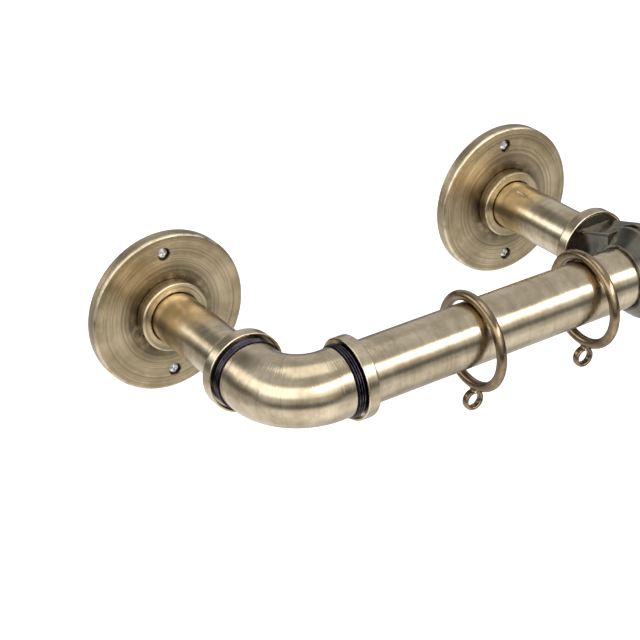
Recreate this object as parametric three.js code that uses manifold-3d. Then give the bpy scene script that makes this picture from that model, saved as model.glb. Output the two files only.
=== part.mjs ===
// Industrial pipe-style curtain rod: a pole between two elbow ends, a centre bracket and four rings.
// Units are millimetres. The wall is the plane y = 0, with +Y into it, +X along the pole and +Z up.
// The origin is the centre of the centre bracket's wall plate, on its back face.

import * as THREE from 'three';
import { mergeVertices } from 'three/addons/utils/BufferGeometryUtils.js';
import Module from 'manifold-3d';

const wasm = await Module();
wasm.setup();

// ---- driving dimensions -------------------------------------------------------------------------

const STANDOFF = 102.5; // wall face to pole axis
const BRACKET_SPACING = 188; // stem axis to stem axis
const POLE_RADIUS = 14;
const POLE_WALL = 1.2;
const STEM_RADIUS = 11.7;
const STEM_WALL = 1.2;

const GAP = 0.3; // clearance between touching pieces
const WASHER_GAP = 0.1; // air under a seated screw head

const PLATE_RADIUS = 37.5;
const PLATE_THICKNESS = 5.8;
const PLATE_EDGE = 1.3; // rounding of the front rim
const SCREW_INSET = 8.5; // plate's rim to the axis of a wall screw
const SCREW_HEAD_RADIUS = 2.6;
const SCREW_HEAD_HEIGHT = 1.7;
const SCREW_HEAD_DEPTH = 0.9; // front face of the plate to the top of the head
const SCREW_SHANK_RADIUS = 1.75;
const SCREW_REACH = 11; // length of the screw beyond the wall face
const SCREW_TIP = 3.5;
const CROSS_SLOT_LENGTH = 3.4;
const CROSS_SLOT_WIDTH = 0.8;
const CROSS_SLOT_DEPTH = 1;
const SCREW_CROWN_RADIUS = 1.82; // where the flat crown of the head turns into its shoulder
const SCREW_CROWN_DROP = 0.2;
const SCREW_SHOULDER_DROP = 0.85;

const COVER_RING_WALL = 4.4;
const COVER_RING_HEIGHT = 5.8;
const COVER_RING_EDGE = 0.9;
const COVER_RING_PLAY = 0.3; // gap between the ring and the stem
const COVER_GRUB_RADIUS = 1.5;
const COVER_GRUB_TILT = 15; // degrees that an end bracket's grub screw points below level

const STUD_RADIUS = 4;
const STUD_LENGTH = 17;
const STUD_BEHIND = 1.5; // solid plate left behind the stud
const PLUG_LENGTH = 16;

const BEND_RADIUS = 22; // centre line of the elbow
const ELBOW_OVERSIZE = 1.3; // how far the elbow stands out beyond the pole
const ELBOW_WALL = 1.5;
const ELBOW_STRAIGHT = 4; // straight length at each mouth of the elbow

const COLLAR_PLAY = 1.8; // dark gap between the cup's wall and the band
const COLLAR_LIP = 1.1; // wall of the cup
const COLLAR_LENGTH = 6.3;
const COLLAR_CUP_DEPTH = 2; // depth of the cup
const COLLAR_EDGE = 0.5;
const COLLAR_SHOULDER = 1.4; // rounding of the closed end
const COLLAR_GRUB_RADIUS = 1.25;

const BAND_SHOWN = 3.4; // length of ridged band between the elbow and the collar's mouth
const BAND_RIDGE = 0.7; // height of a ridge
const BAND_RIDGES = 3;
const SPIGOT_REACH = 18; // length of a spigot inside its tube
const SPIGOT_BORE = 5;

const NECK_INSET = 0.3; // how far the neck's flat sides stand in from the ends of the holder's ring
const NECK_MARGIN = 1.5; // rim of the flange to the corners of the neck
const NECK_FRONT = 9; // pole's axis to the upright front edges of the neck
const FLANGE_THICKNESS = 1;
const HOLDER_WALL = 7.5; // thickest wall of the holder's ring, outside the pole
const HOLDER_END_WALL = 1.5;
const HOLDER_HALF_LENGTH = 10.5;
const HOLDER_BAND_HALF = 3; // half-length of the cylindrical middle of the holder's ring
const HOLDER_GROOVE_HALF = 1.4;
const HOLDER_GROOVE_DEPTH = 1.3;
const HOLDER_GRUB_RADIUS = 2;

const RING_PLAY = 4.5; // inside of the ring to the pole, when the two are centred
const RING_WIRE_RADIUS = 2.3;
const RING_PLACES = [-93, -31, 31, 93];
const EYELET_HOLE_RADIUS = 3;
const EYELET_WIDTH = 2; // radial width of the eyelet's rim
const EYELET_DEPTH = 3; // along the hole
const EYELET_NECK_RADIUS = 1.7;
const EYELET_NECK_LENGTH = 1;

const GRUB_CHAMFER = 0.25; // shares of a grub screw's own radius and length
const GRUB_SOCKET = 0.55;
const GRUB_SOCKET_FLOOR = 0.45;
const HEXAGON_SIDES = 6;
const OVERCUT = 1; // how far a cutting tool passes the surface that it opens
const DOWN = -90; // degrees in the XZ plane, from +X towards +Z
const SAME_POINT = 1e-4; // corners closer than this are merged

const FINE_SIDES = 28;
const TUBE_SIDES = 20;
const HIDDEN_SIDES = 14;
const SMALL_SIDES = 10;
const EDGE_STEPS = 2;
const ELBOW_STEPS = 12;
const RING_STEPS = 26;
const WIRE_SIDES = 8;
const EYELET_STEPS = 16;

// ---- sizes that follow from the driving dimensions ------------------------------------------------

const POLE_BORE = POLE_RADIUS - POLE_WALL;
const STEM_BORE = STEM_RADIUS - STEM_WALL;
const WIDEST_TUBE = Math.max(POLE_RADIUS, STEM_RADIUS);
const ELBOW_RADIUS = WIDEST_TUBE + ELBOW_OVERSIZE;
const ELBOW_BORE = ELBOW_RADIUS - ELBOW_WALL;
const CUP_RADIUS = ELBOW_RADIUS + COLLAR_PLAY;
const COLLAR_RADIUS = CUP_RADIUS + COLLAR_LIP;

const SCREW_OFFSET = PLATE_RADIUS - SCREW_INSET;
const COVER_RING_BORE = STEM_RADIUS + COVER_RING_PLAY;
const COVER_RING_RADIUS = COVER_RING_BORE + COVER_RING_WALL;
const FOOT = -PLATE_THICKNESS - GAP; // where the cover ring and the stem start
const COVER_RING_MIDDLE = -PLATE_THICKNESS - COVER_RING_HEIGHT / 2;

const HOLDER_RADIUS = POLE_RADIUS + HOLDER_WALL;
const HOLDER_END_RADIUS = POLE_RADIUS + HOLDER_END_WALL;
const HOLDER_GROOVE_RADIUS = HOLDER_RADIUS - HOLDER_GROOVE_DEPTH;
const FLANGE_RADIUS = CUP_RADIUS - GAP;
const NECK_CORNER_RADIUS = FLANGE_RADIUS - NECK_MARGIN;
const NECK_HALF_WIDTH = HOLDER_HALF_LENGTH - NECK_INSET;
const NECK_FOOT_HALF_HEIGHT = Math.sqrt(NECK_CORNER_RADIUS ** 2 - NECK_HALF_WIDTH ** 2);
const NECK_FRONT_HALF_HEIGHT = Math.sqrt(HOLDER_GROOVE_RADIUS ** 2 - NECK_FRONT ** 2);

// distances along a leg, measured from the corner where the stem's axis meets the pole's
const ELBOW_END = BEND_RADIUS + ELBOW_STRAIGHT;
const BAND_START = ELBOW_END + GAP;
const COLLAR_MOUTH = BAND_START + BAND_SHOWN;
const CUP_FLOOR = COLLAR_MOUTH + COLLAR_CUP_DEPTH;
const COLLAR_BACK = COLLAR_MOUTH + COLLAR_LENGTH;
const BAND_END = CUP_FLOOR - GAP;
const TUBE_START = CUP_FLOOR + GAP;
const COLLAR_GRUB_PLACE = (CUP_FLOOR + COLLAR_BACK) / 2;

const RING_RADIUS = POLE_RADIUS + RING_PLAY + RING_WIRE_RADIUS; // centre line of the ring's wire
const RING_DROP = RING_PLAY - GAP;
const EYELET_RADIUS = EYELET_HOLE_RADIUS + EYELET_WIDTH;
const EYELET_DROP = RING_DROP + RING_RADIUS + RING_WIRE_RADIUS + EYELET_NECK_LENGTH + EYELET_RADIUS;

// ---- finishes -----------------------------------------------------------------------------------

const FINISHES = {
  antiqueBrass: { color: 0xa8977a, roughness: 0.36, metalness: 1 },
  ringBronze: { color: 0x8a765c, roughness: 0.34, metalness: 1 },
  blackNickel: { color: 0x3a3741, roughness: 0.22, metalness: 1 },
  gunmetal: { color: 0x3c3b36, roughness: 0.3, metalness: 1 },
  brightZinc: { color: 0xc9cac8, roughness: 0.25, metalness: 1 },
  blackSteel: { color: 0x26262a, roughness: 0.4, metalness: 1 },
  plainSteel: { color: 0x9a9c9e, roughness: 0.45, metalness: 1 },
};

// ---- shape helpers --------------------------------------------------------------------------------

// Revolves [radius, height] corners about the Y axis. A profile away from the axis is closed on itself.
function turned(corners, sides) {
  const ring = corners.map(([radius, height]) => new THREE.Vector2(radius, height));
  if (THREE.ShapeUtils.area(ring) < 0) ring.reverse();
  const onAxis = ring[0].x === 0 && ring[ring.length - 1].x === 0;
  if (!onAxis) ring.push(ring[0].clone());
  return new THREE.LatheGeometry(ring, sides);
}

// A plain tube or disc between two heights.
function tube(inner, outer, low, high, sides) {
  return turned([[inner, low], [outer, low], [outer, high], [inner, high]], sides);
}

// A quarter-round edge from one profile corner to the next, about a centre point.
function roundedEdge(centre, radius, startDegrees, endDegrees) {
  const points = [];
  for (let step = 0; step <= EDGE_STEPS; step += 1) {
    const degrees = startDegrees + ((endDegrees - startDegrees) * step) / EDGE_STEPS;
    const angle = THREE.MathUtils.degToRad(degrees);
    points.push([centre[0] + radius * Math.cos(angle), centre[1] + radius * Math.sin(angle)]);
  }
  return points;
}

function toSolid(geometry) {
  const plain = geometry.clone();
  plain.deleteAttribute('normal');
  plain.deleteAttribute('uv');
  const merged = mergeVertices(plain, SAME_POINT);
  const corners = merged.index.array;
  const kept = [];
  for (let i = 0; i < corners.length; i += 3) {
    const [a, b, c] = [corners[i], corners[i + 1], corners[i + 2]];
    if (a !== b && b !== c && c !== a) kept.push(a, b, c);
  }
  const mesh = new wasm.Mesh({
    numProp: 3,
    vertProperties: new Float32Array(merged.attributes.position.array),
    triVerts: new Uint32Array(kept),
  });
  return new wasm.Manifold(mesh);
}

function toGeometry(solid) {
  const mesh = solid.getMesh();
  const geometry = new THREE.BufferGeometry();
  geometry.setAttribute('position', new THREE.BufferAttribute(new Float32Array(mesh.vertProperties), 3));
  geometry.setIndex(new THREE.BufferAttribute(new Uint32Array(mesh.triVerts), 1));
  geometry.computeVertexNormals();
  return geometry;
}

function cut(geometry, ...tools) {
  const solid = tools.reduce((left, tool) => left.subtract(toSolid(tool)), toSolid(geometry));
  return toGeometry(solid);
}

function join(geometry, ...others) {
  const solid = others.reduce((whole, other) => whole.add(toSolid(other)), toSolid(geometry));
  return toGeometry(solid);
}

// Lays a piece turned about Y along X instead.
function alongX(geometry) {
  return geometry.rotateZ(-Math.PI / 2);
}

// Stands a piece turned about Y along Z instead.
function alongZ(geometry) {
  return geometry.rotateX(Math.PI / 2);
}

// Swings a piece turned about Y so that it points out from the Y axis at an angle in the XZ plane.
function outwards(geometry, degrees) {
  return alongX(geometry).rotateY(-THREE.MathUtils.degToRad(degrees));
}

const model = new THREE.Group();

function add(group, name, geometry, finish) {
  const mesh = new THREE.Mesh(geometry, new THREE.MeshStandardMaterial(FINISHES[finish]));
  mesh.name = name;
  group.add(mesh);
}

// ---- fasteners ------------------------------------------------------------------------------------

// Headless set screw along Y from 0 to its length, with a hexagon socket in the outer end.
function grubScrew(radius, length) {
  const chamfer = radius * GRUB_CHAMFER;
  const body = turned([
    [0, 0],
    [radius, 0],
    [radius, length - chamfer],
    [radius - chamfer, length],
    [0, length],
  ], SMALL_SIDES);
  const socket = tube(0, radius * GRUB_SOCKET, length * GRUB_SOCKET_FLOOR, length + OVERCUT, HEXAGON_SIDES);
  return cut(body, socket);
}

// Round-headed wood screw along Y: the top of the head is at 0 and the point is below.
function wallScrew(length) {
  const shankTop = -SCREW_HEAD_HEIGHT;
  const body = turned([
    [0, 0],
    [SCREW_CROWN_RADIUS, -SCREW_CROWN_DROP],
    [SCREW_HEAD_RADIUS, -SCREW_SHOULDER_DROP],
    [SCREW_HEAD_RADIUS, shankTop],
    [SCREW_SHANK_RADIUS, shankTop],
    [SCREW_SHANK_RADIUS, SCREW_TIP - length],
    [0, -length],
  ], SMALL_SIDES);
  const across = new THREE.BoxGeometry(CROSS_SLOT_LENGTH, 2 * CROSS_SLOT_DEPTH, CROSS_SLOT_WIDTH);
  const upright = new THREE.BoxGeometry(CROSS_SLOT_WIDTH, 2 * CROSS_SLOT_DEPTH, CROSS_SLOT_LENGTH);
  return cut(body, across, upright);
}

// ---- bracket foot: distances are measured out from the wall, towards -Y ----------------------------

function wallPlate() {
  const rimCentre = [PLATE_RADIUS - PLATE_EDGE, PLATE_EDGE - PLATE_THICKNESS];
  const disc = turned([
    [0, 0],
    [PLATE_RADIUS, 0],
    ...roundedEdge(rimCentre, PLATE_EDGE, 0, -90),
    [0, -PLATE_THICKNESS],
  ], FINE_SIDES);
  const beyond = -PLATE_THICKNESS - OVERCUT;
  const studHole = tube(0, STUD_RADIUS + GAP, -STUD_BEHIND, beyond, SMALL_SIDES);
  const seat = SCREW_HEAD_DEPTH + SCREW_HEAD_HEIGHT + WASHER_GAP - PLATE_THICKNESS;
  const holes = [1, -1].flatMap((side) => [
    tube(0, SCREW_HEAD_RADIUS + GAP, seat, beyond, SMALL_SIDES),
    tube(0, SCREW_SHANK_RADIUS + GAP, OVERCUT, beyond, SMALL_SIDES),
  ].map((hole) => hole.translate(0, 0, side * SCREW_OFFSET)));
  return cut(disc, studHole, ...holes);
}

function coverRing(grubAngle) {
  const front = -PLATE_THICKNESS - COVER_RING_HEIGHT;
  const edgeCentre = [COVER_RING_RADIUS - COVER_RING_EDGE, front + COVER_RING_EDGE];
  const ring = turned([
    [COVER_RING_BORE, FOOT],
    [COVER_RING_RADIUS, FOOT],
    ...roundedEdge(edgeCentre, COVER_RING_EDGE, 0, -90),
    [COVER_RING_BORE, front],
  ], FINE_SIDES);
  const reach = COVER_RING_RADIUS + OVERCUT;
  const hole = tube(0, COVER_GRUB_RADIUS + GAP, STEM_RADIUS / 2, reach, SMALL_SIDES);
  return cut(ring, outwards(hole, grubAngle).translate(0, COVER_RING_MIDDLE, 0));
}

function coverRingGrubScrew(grubAngle) {
  const start = STEM_RADIUS + GAP;
  const screw = grubScrew(COVER_GRUB_RADIUS, COVER_RING_RADIUS - COVER_RING_EDGE - start);
  return outwards(screw.translate(0, start, 0), grubAngle).translate(0, COVER_RING_MIDDLE, 0);
}

function addFoot(bracket, prefix, grubAngle) {
  const screwTop = SCREW_HEAD_DEPTH - PLATE_THICKNESS;
  const screwLength = SCREW_REACH - screwTop;
  add(bracket, `${prefix}_wall_plate`, wallPlate(), 'antiqueBrass');
  for (const [place, side] of [['upper', 1], ['lower', -1]]) {
    const screw = wallScrew(screwLength).rotateX(Math.PI).translate(0, screwTop, side * SCREW_OFFSET);
    add(bracket, `${prefix}_${place}_wall_screw`, screw, 'brightZinc');
  }
  add(bracket, `${prefix}_cover_ring`, coverRing(grubAngle), 'antiqueBrass');
  add(bracket, `${prefix}_cover_ring_grub_screw`, coverRingGrubScrew(grubAngle), 'blackSteel');

  const stem = tube(STEM_BORE, STEM_RADIUS, TUBE_START - STANDOFF, FOOT, TUBE_SIDES);
  add(bracket, `${prefix}_stem_tube`, stem, 'antiqueBrass');

  const plug = tube(STUD_RADIUS + GAP, STEM_BORE - GAP, FOOT - PLUG_LENGTH, FOOT, HIDDEN_SIDES);
  add(bracket, `${prefix}_stem_plug`, plug, 'plainSteel');
  const studBase = -STUD_BEHIND - GAP;
  const stud = tube(0, STUD_RADIUS, studBase - STUD_LENGTH, studBase, SMALL_SIDES);
  add(bracket, `${prefix}_stem_stud`, stud, 'plainSteel');
}

// ---- leg fittings: distances are measured along +Y from the corner of the pole's and stem's axes -----

// Cup that closes round the end of a tube and opens towards the corner.
function collar(tubeRadius) {
  const lip = COLLAR_RADIUS - COLLAR_EDGE;
  const backCentre = [COLLAR_RADIUS - COLLAR_SHOULDER, COLLAR_BACK - COLLAR_SHOULDER];
  const bore = tubeRadius + GAP;
  const cup = turned([
    [CUP_RADIUS, COLLAR_MOUTH],
    [lip, COLLAR_MOUTH],
    [COLLAR_RADIUS, COLLAR_MOUTH + COLLAR_EDGE],
    ...roundedEdge(backCentre, COLLAR_SHOULDER, 0, 90),
    [bore, COLLAR_BACK],
    [bore, CUP_FLOOR],
    [CUP_RADIUS, CUP_FLOOR],
  ], FINE_SIDES);
  const reach = COLLAR_RADIUS + OVERCUT;
  const hole = tube(0, COLLAR_GRUB_RADIUS + GAP, tubeRadius / 2, reach, SMALL_SIDES);
  return cut(cup, outwards(hole, DOWN).translate(0, COLLAR_GRUB_PLACE, 0));
}

function collarGrubScrew(tubeRadius) {
  const start = tubeRadius + GAP;
  const screw = grubScrew(COLLAR_GRUB_RADIUS, COLLAR_RADIUS - COLLAR_EDGE - start);
  return outwards(screw.translate(0, start, 0), DOWN).translate(0, COLLAR_GRUB_PLACE, 0);
}

// Ferrule with fine rounded ridges on its shown length and a plain shank inside the cup.
function band() {
  const pitch = BAND_SHOWN / BAND_RIDGES;
  const outside = [[ELBOW_RADIUS, BAND_START]];
  for (let ridge = 0; ridge < BAND_RIDGES; ridge += 1) {
    const start = BAND_START + ridge * pitch;
    outside.push([ELBOW_RADIUS + BAND_RIDGE, start + pitch / 2]);
    outside.push([ELBOW_RADIUS, start + pitch]);
  }
  const shank = [[ELBOW_RADIUS, BAND_END], [ELBOW_BORE, BAND_END]];
  return turned([[ELBOW_BORE, BAND_START], ...outside, ...shank], TUBE_SIDES);
}

// Hollow stepped joiner: the wide end is in the band and elbow, the narrow end is in the tube.
function spigot(tubeBore) {
  const wide = ELBOW_BORE - GAP;
  const narrow = tubeBore - GAP;
  return turned([
    [SPIGOT_BORE, BEND_RADIUS + GAP],
    [wide, BEND_RADIUS + GAP],
    [wide, BAND_END],
    [narrow, BAND_END],
    [narrow, TUBE_START + SPIGOT_REACH],
    [SPIGOT_BORE, TUBE_START + SPIGOT_REACH],
  ], HIDDEN_SIDES);
}

function addCollar(leg, prefix, tubeRadius) {
  add(leg, `${prefix}_collar`, collar(tubeRadius), 'antiqueBrass');
  add(leg, `${prefix}_collar_grub_screw`, collarGrubScrew(tubeRadius), 'blackSteel');
}

function addElbowLeg(leg, prefix, tubeRadius, tubeBore) {
  addCollar(leg, prefix, tubeRadius);
  add(leg, `${prefix}_band`, band(), 'blackNickel');
  add(leg, `${prefix}_spigot`, spigot(tubeBore), 'plainSteel');
}

// Centre line of the elbow: straight, quarter bend, straight, at an even pace.
class ElbowPath extends THREE.Curve {
  getPoint(t, target = new THREE.Vector3()) {
    const bendLength = (BEND_RADIUS * Math.PI) / 2;
    const along = t * (2 * ELBOW_STRAIGHT + bendLength);
    if (along <= ELBOW_STRAIGHT) return target.set(0, ELBOW_END - along, 0);
    if (along >= ELBOW_STRAIGHT + bendLength) {
      return target.set(BEND_RADIUS + along - ELBOW_STRAIGHT - bendLength, 0, 0);
    }
    const angle = (along - ELBOW_STRAIGHT) / BEND_RADIUS;
    return target.set(1 - Math.cos(angle), 1 - Math.sin(angle), 0).multiplyScalar(BEND_RADIUS);
  }
}

function elbow() {
  const section = new THREE.Shape();
  section.absarc(0, 0, ELBOW_RADIUS, 0, 2 * Math.PI, false);
  const bore = new THREE.Path();
  bore.absarc(0, 0, ELBOW_BORE, 0, 2 * Math.PI, true);
  section.holes.push(bore);
  return new THREE.ExtrudeGeometry(section, {
    steps: ELBOW_STEPS,
    curveSegments: TUBE_SIDES / 2,
    extrudePath: new ElbowPath(),
  });
}

// ---- centre holder --------------------------------------------------------------------------------

// Flat-sided web that widens from the flange to the holder's ring.
function holderNeck(flangeTop) {
  const outline = new THREE.Shape([
    new THREE.Vector2(NECK_FRONT, -NECK_FRONT_HALF_HEIGHT),
    new THREE.Vector2(flangeTop, -NECK_FOOT_HALF_HEIGHT),
    new THREE.Vector2(flangeTop, NECK_FOOT_HALF_HEIGHT),
    new THREE.Vector2(NECK_FRONT, NECK_FRONT_HALF_HEIGHT),
  ]);
  const web = new THREE.ExtrudeGeometry(outline, { depth: 2 * NECK_HALF_WIDTH, bevelEnabled: false });
  return web.translate(0, 0, -NECK_HALF_WIDTH).rotateY(Math.PI / 2).rotateX(Math.PI / 2);
}

function poleHolder() {
  const half = [
    [0, HOLDER_HALF_LENGTH],
    [HOLDER_END_RADIUS, HOLDER_HALF_LENGTH],
    [HOLDER_RADIUS, HOLDER_BAND_HALF],
    [HOLDER_RADIUS, HOLDER_GROOVE_HALF],
    [HOLDER_GROOVE_RADIUS, HOLDER_GROOVE_HALF],
  ];
  const otherHalf = half.map(([radius, height]) => [radius, -height]).reverse();
  const barrel = alongX(turned([...half, ...otherHalf], FINE_SIDES));
  const flangeTop = CUP_FLOOR - GAP;
  const shank = turned([
    [0, flangeTop - FLANGE_THICKNESS],
    [FLANGE_RADIUS, flangeTop - FLANGE_THICKNESS],
    [FLANGE_RADIUS, flangeTop],
    [STEM_BORE - GAP, flangeTop],
    [STEM_BORE - GAP, TUBE_START + SPIGOT_REACH],
    [0, TUBE_START + SPIGOT_REACH],
  ], TUBE_SIDES);
  const poleHole = tube(0, POLE_RADIUS + GAP, -HOLDER_RADIUS, HOLDER_RADIUS, FINE_SIDES);
  const reach = HOLDER_RADIUS + OVERCUT;
  const grubHole = tube(0, HOLDER_GRUB_RADIUS + GAP, POLE_RADIUS / 2, reach, SMALL_SIDES);
  const whole = join(barrel, holderNeck(flangeTop), shank);
  return cut(whole, alongX(poleHole), outwards(grubHole, DOWN));
}

function holderGrubScrew() {
  const start = POLE_RADIUS + GAP;
  const screw = grubScrew(HOLDER_GRUB_RADIUS, HOLDER_GROOVE_RADIUS - start);
  return outwards(screw.translate(0, start, 0), DOWN);
}

// ---- rings ----------------------------------------------------------------------------------------

function ringWire(extra) {
  const wire = RING_WIRE_RADIUS + extra;
  return new THREE.TorusGeometry(RING_RADIUS, wire, WIRE_SIDES, RING_STEPS).rotateY(Math.PI / 2);
}

// Loop round a hole along Y, with a short neck that reaches up to the ring's wire.
function eyelet() {
  const middle = EYELET_HOLE_RADIUS + EYELET_WIDTH / 2;
  const section = new THREE.EllipseCurve(middle, 0, EYELET_WIDTH / 2, EYELET_DEPTH / 2);
  const outline = section.getPoints(WIRE_SIDES).slice(1).map(({ x, y }) => [x, y]);
  const loop = turned(outline, EYELET_STEPS);
  const neckTop = EYELET_RADIUS + EYELET_NECK_LENGTH + RING_WIRE_RADIUS;
  const neck = tube(0, EYELET_NECK_RADIUS, middle, neckTop, SMALL_SIDES);
  const ringPlace = EYELET_DROP - RING_DROP;
  return cut(join(loop, alongZ(neck)), ringWire(GAP).translate(0, 0, ringPlace));
}

// ---- assembly -------------------------------------------------------------------------------------

const LEFT = -BRACKET_SPACING;
const RIGHT = BRACKET_SPACING;

const FEET = [
  ['left', LEFT, 180 + COVER_GRUB_TILT],
  ['centre', 0, DOWN],
  ['right', RIGHT, -COVER_GRUB_TILT],
];

for (const [prefix, x, grubAngle] of FEET) {
  const bracket = new THREE.Group();
  bracket.position.set(x, 0, 0);
  model.add(bracket);
  addFoot(bracket, prefix, grubAngle);
}

for (const [prefix, x, turn] of [['left', LEFT, 0], ['right', RIGHT, Math.PI / 2]]) {
  const corner = new THREE.Group();
  corner.position.set(x, -STANDOFF, 0);
  model.add(corner);

  const stemLeg = new THREE.Group();
  corner.add(stemLeg);
  addElbowLeg(stemLeg, `${prefix}_stem`, STEM_RADIUS, STEM_BORE);

  const poleLeg = new THREE.Group();
  poleLeg.rotation.z = x < 0 ? -Math.PI / 2 : Math.PI / 2;
  corner.add(poleLeg);
  addElbowLeg(poleLeg, `${prefix}_pole`, POLE_RADIUS, POLE_BORE);

  const bend = new THREE.Group();
  bend.rotation.z = turn;
  corner.add(bend);
  add(bend, `${prefix}_elbow`, elbow(), 'antiqueBrass');
}

const centre = new THREE.Group();
centre.position.set(0, -STANDOFF, 0);
model.add(centre);
addCollar(centre, 'centre_stem', STEM_RADIUS);
add(centre, 'centre_pole_holder', poleHolder(), 'gunmetal');
add(centre, 'centre_pole_holder_grub_screw', holderGrubScrew(), 'blackSteel');

const poleHalf = BRACKET_SPACING - TUBE_START;
const pole = tube(POLE_BORE, POLE_RADIUS, -poleHalf, poleHalf, TUBE_SIDES);
add(centre, 'pole', alongX(pole), 'antiqueBrass');

RING_PLACES.forEach((x, index) => {
  const ring = new THREE.Group();
  ring.position.set(x, -STANDOFF, 0);
  model.add(ring);
  add(ring, `curtain_ring_${index + 1}`, ringWire(0).translate(0, 0, -RING_DROP), 'ringBronze');
  add(ring, `ring_eyelet_${index + 1}`, eyelet().translate(0, 0, -EYELET_DROP), 'ringBronze');
});

export default model;
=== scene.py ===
"""Pipe-style curtain rod with brackets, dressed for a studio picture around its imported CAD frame.

Lengths are metres. The wall is the plane y = 0 with +Y into it, +X runs along the pole and +Z is up.
Every turned piece is described in turning coordinates: a distance along an axis, a radius from it
and an angle round it. An axis object then carries those coordinates into space.
"""

import logging
import math
from dataclasses import dataclass, replace
from enum import Enum
from typing import Callable, Protocol, Sequence

import bmesh
import bpy
import numpy as np
from mathutils import Matrix, Vector


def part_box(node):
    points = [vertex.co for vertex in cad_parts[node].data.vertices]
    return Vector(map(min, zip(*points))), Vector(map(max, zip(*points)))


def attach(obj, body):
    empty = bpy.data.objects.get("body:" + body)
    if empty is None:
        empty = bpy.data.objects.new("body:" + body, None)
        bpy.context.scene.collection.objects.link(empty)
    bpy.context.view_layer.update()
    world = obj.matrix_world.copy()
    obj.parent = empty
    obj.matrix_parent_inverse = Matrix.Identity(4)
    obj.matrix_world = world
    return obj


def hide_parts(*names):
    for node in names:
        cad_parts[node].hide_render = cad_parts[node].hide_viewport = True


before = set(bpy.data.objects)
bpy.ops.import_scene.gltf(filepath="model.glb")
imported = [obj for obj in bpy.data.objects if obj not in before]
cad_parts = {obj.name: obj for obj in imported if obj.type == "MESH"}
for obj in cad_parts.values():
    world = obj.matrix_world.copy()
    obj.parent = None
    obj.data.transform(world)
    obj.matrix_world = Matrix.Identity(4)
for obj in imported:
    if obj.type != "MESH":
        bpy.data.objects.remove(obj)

LOG = logging.getLogger("curtain_rod")

MM = 0.001
FULL_TURN = 2 * math.pi
QUARTER_TURN = math.pi / 2
ARC_STEP = math.radians(9)  # angle between two points on a rounded corner
HOLD = 0.12  # a holding point stands this share of the rounding radius past each end of an arc
SHARP_ANGLE = math.radians(32)
SAME_POINT = 0.001 * MM  # cut meshes have their points merged within this distance
TURNING = "turning"  # the UV map: U holds the edge tone, which makes outside corners paler (wear and painted highlight) and inside ones darker (grime and painted shade); V holds distance along the profile

FINE_SIDES = 144
SMALL_SIDES = 48
HOLE_SIDES = 64
MOST_CORNERS = 4  # a face with more corners is split into triangles
NEARLY_UPRIGHT = 0.9
ROW_SPACING = 3 * MM  # the longest way between two rows of points on most turned pieces
ELBOW_WALL = 1.5 * MM

ALONG_POLE = np.array([1.0, 0.0, 0.0])
INTO_WALL = np.array([0.0, 1.0, 0.0])
UP = np.array([0.0, 0.0, 1.0])
ROD = "rod"  # the body that stays on the wall

Shape = Callable[[np.ndarray, np.ndarray, np.ndarray], tuple[np.ndarray, np.ndarray]]


# ---- reading the frame ----------------------------------------------------------------------------


@dataclass(frozen=True)
class Box:
    """The space that one CAD node fills at rest."""

    low: np.ndarray
    high: np.ndarray

    @classmethod
    def of(cls, node: str) -> "Box":
        """Read a node's box from the frame."""
        low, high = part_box(node)
        return cls(np.array(low), np.array(high))

    @property
    def size(self) -> np.ndarray:
        """Edge lengths along X, Y and Z."""
        return self.high - self.low

    @property
    def middle(self) -> np.ndarray:
        """Centre of the box."""
        return (self.high + self.low) / 2

    def span(self, start: np.ndarray, way: np.ndarray) -> tuple[float, float]:
        """Nearest and farthest distance that the box reaches from a start along a way."""
        ends = [abs(float((edge - start) @ way)) for edge in (self.low, self.high)]
        return min(ends), max(ends)


# ---- profiles and axes ----------------------------------------------------------------------------


@dataclass(frozen=True)
class Corner:
    """One corner of a profile: distance along the axis, radius, and how far it is rounded."""

    along: float
    radius: float
    rounding: float = 0.0


@dataclass(frozen=True)
class Profile:
    """A line in the plane of an axis, one row per point: distance along, radius, edge tone."""

    rows: np.ndarray
    closed: bool

    @property
    def travelled(self) -> np.ndarray:
        """Distance walked along the line at each of its points."""
        steps = np.linalg.norm(np.diff(self.rows[:, :2], axis=0), axis=1)
        return np.concatenate([[0.0], np.cumsum(steps)])

    def divided(self, spacing: float) -> "Profile":
        """Split stretches that are longer than a spacing.

        Args:
            spacing: the longest distance that two neighbouring points may have.

        Returns:
            The same line with evenly placed points added by linear interpolation.
        """
        rows = np.vstack([self.rows, self.rows[:1]]) if self.closed else self.rows
        lengths = np.linalg.norm(np.diff(rows[:, :2], axis=0), axis=1)
        counts = np.maximum(1, np.ceil(lengths / spacing)).astype(int)
        starts = np.repeat(np.arange(len(counts)), counts)
        first = np.repeat(np.cumsum(counts) - counts, counts)
        share = ((np.arange(counts.sum()) - first) / counts[starts])[:, None]
        added = rows[starts] * (1 - share) + rows[starts + 1] * share
        return Profile(added if self.closed else np.vstack([added, rows[-1:]]), self.closed)


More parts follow.
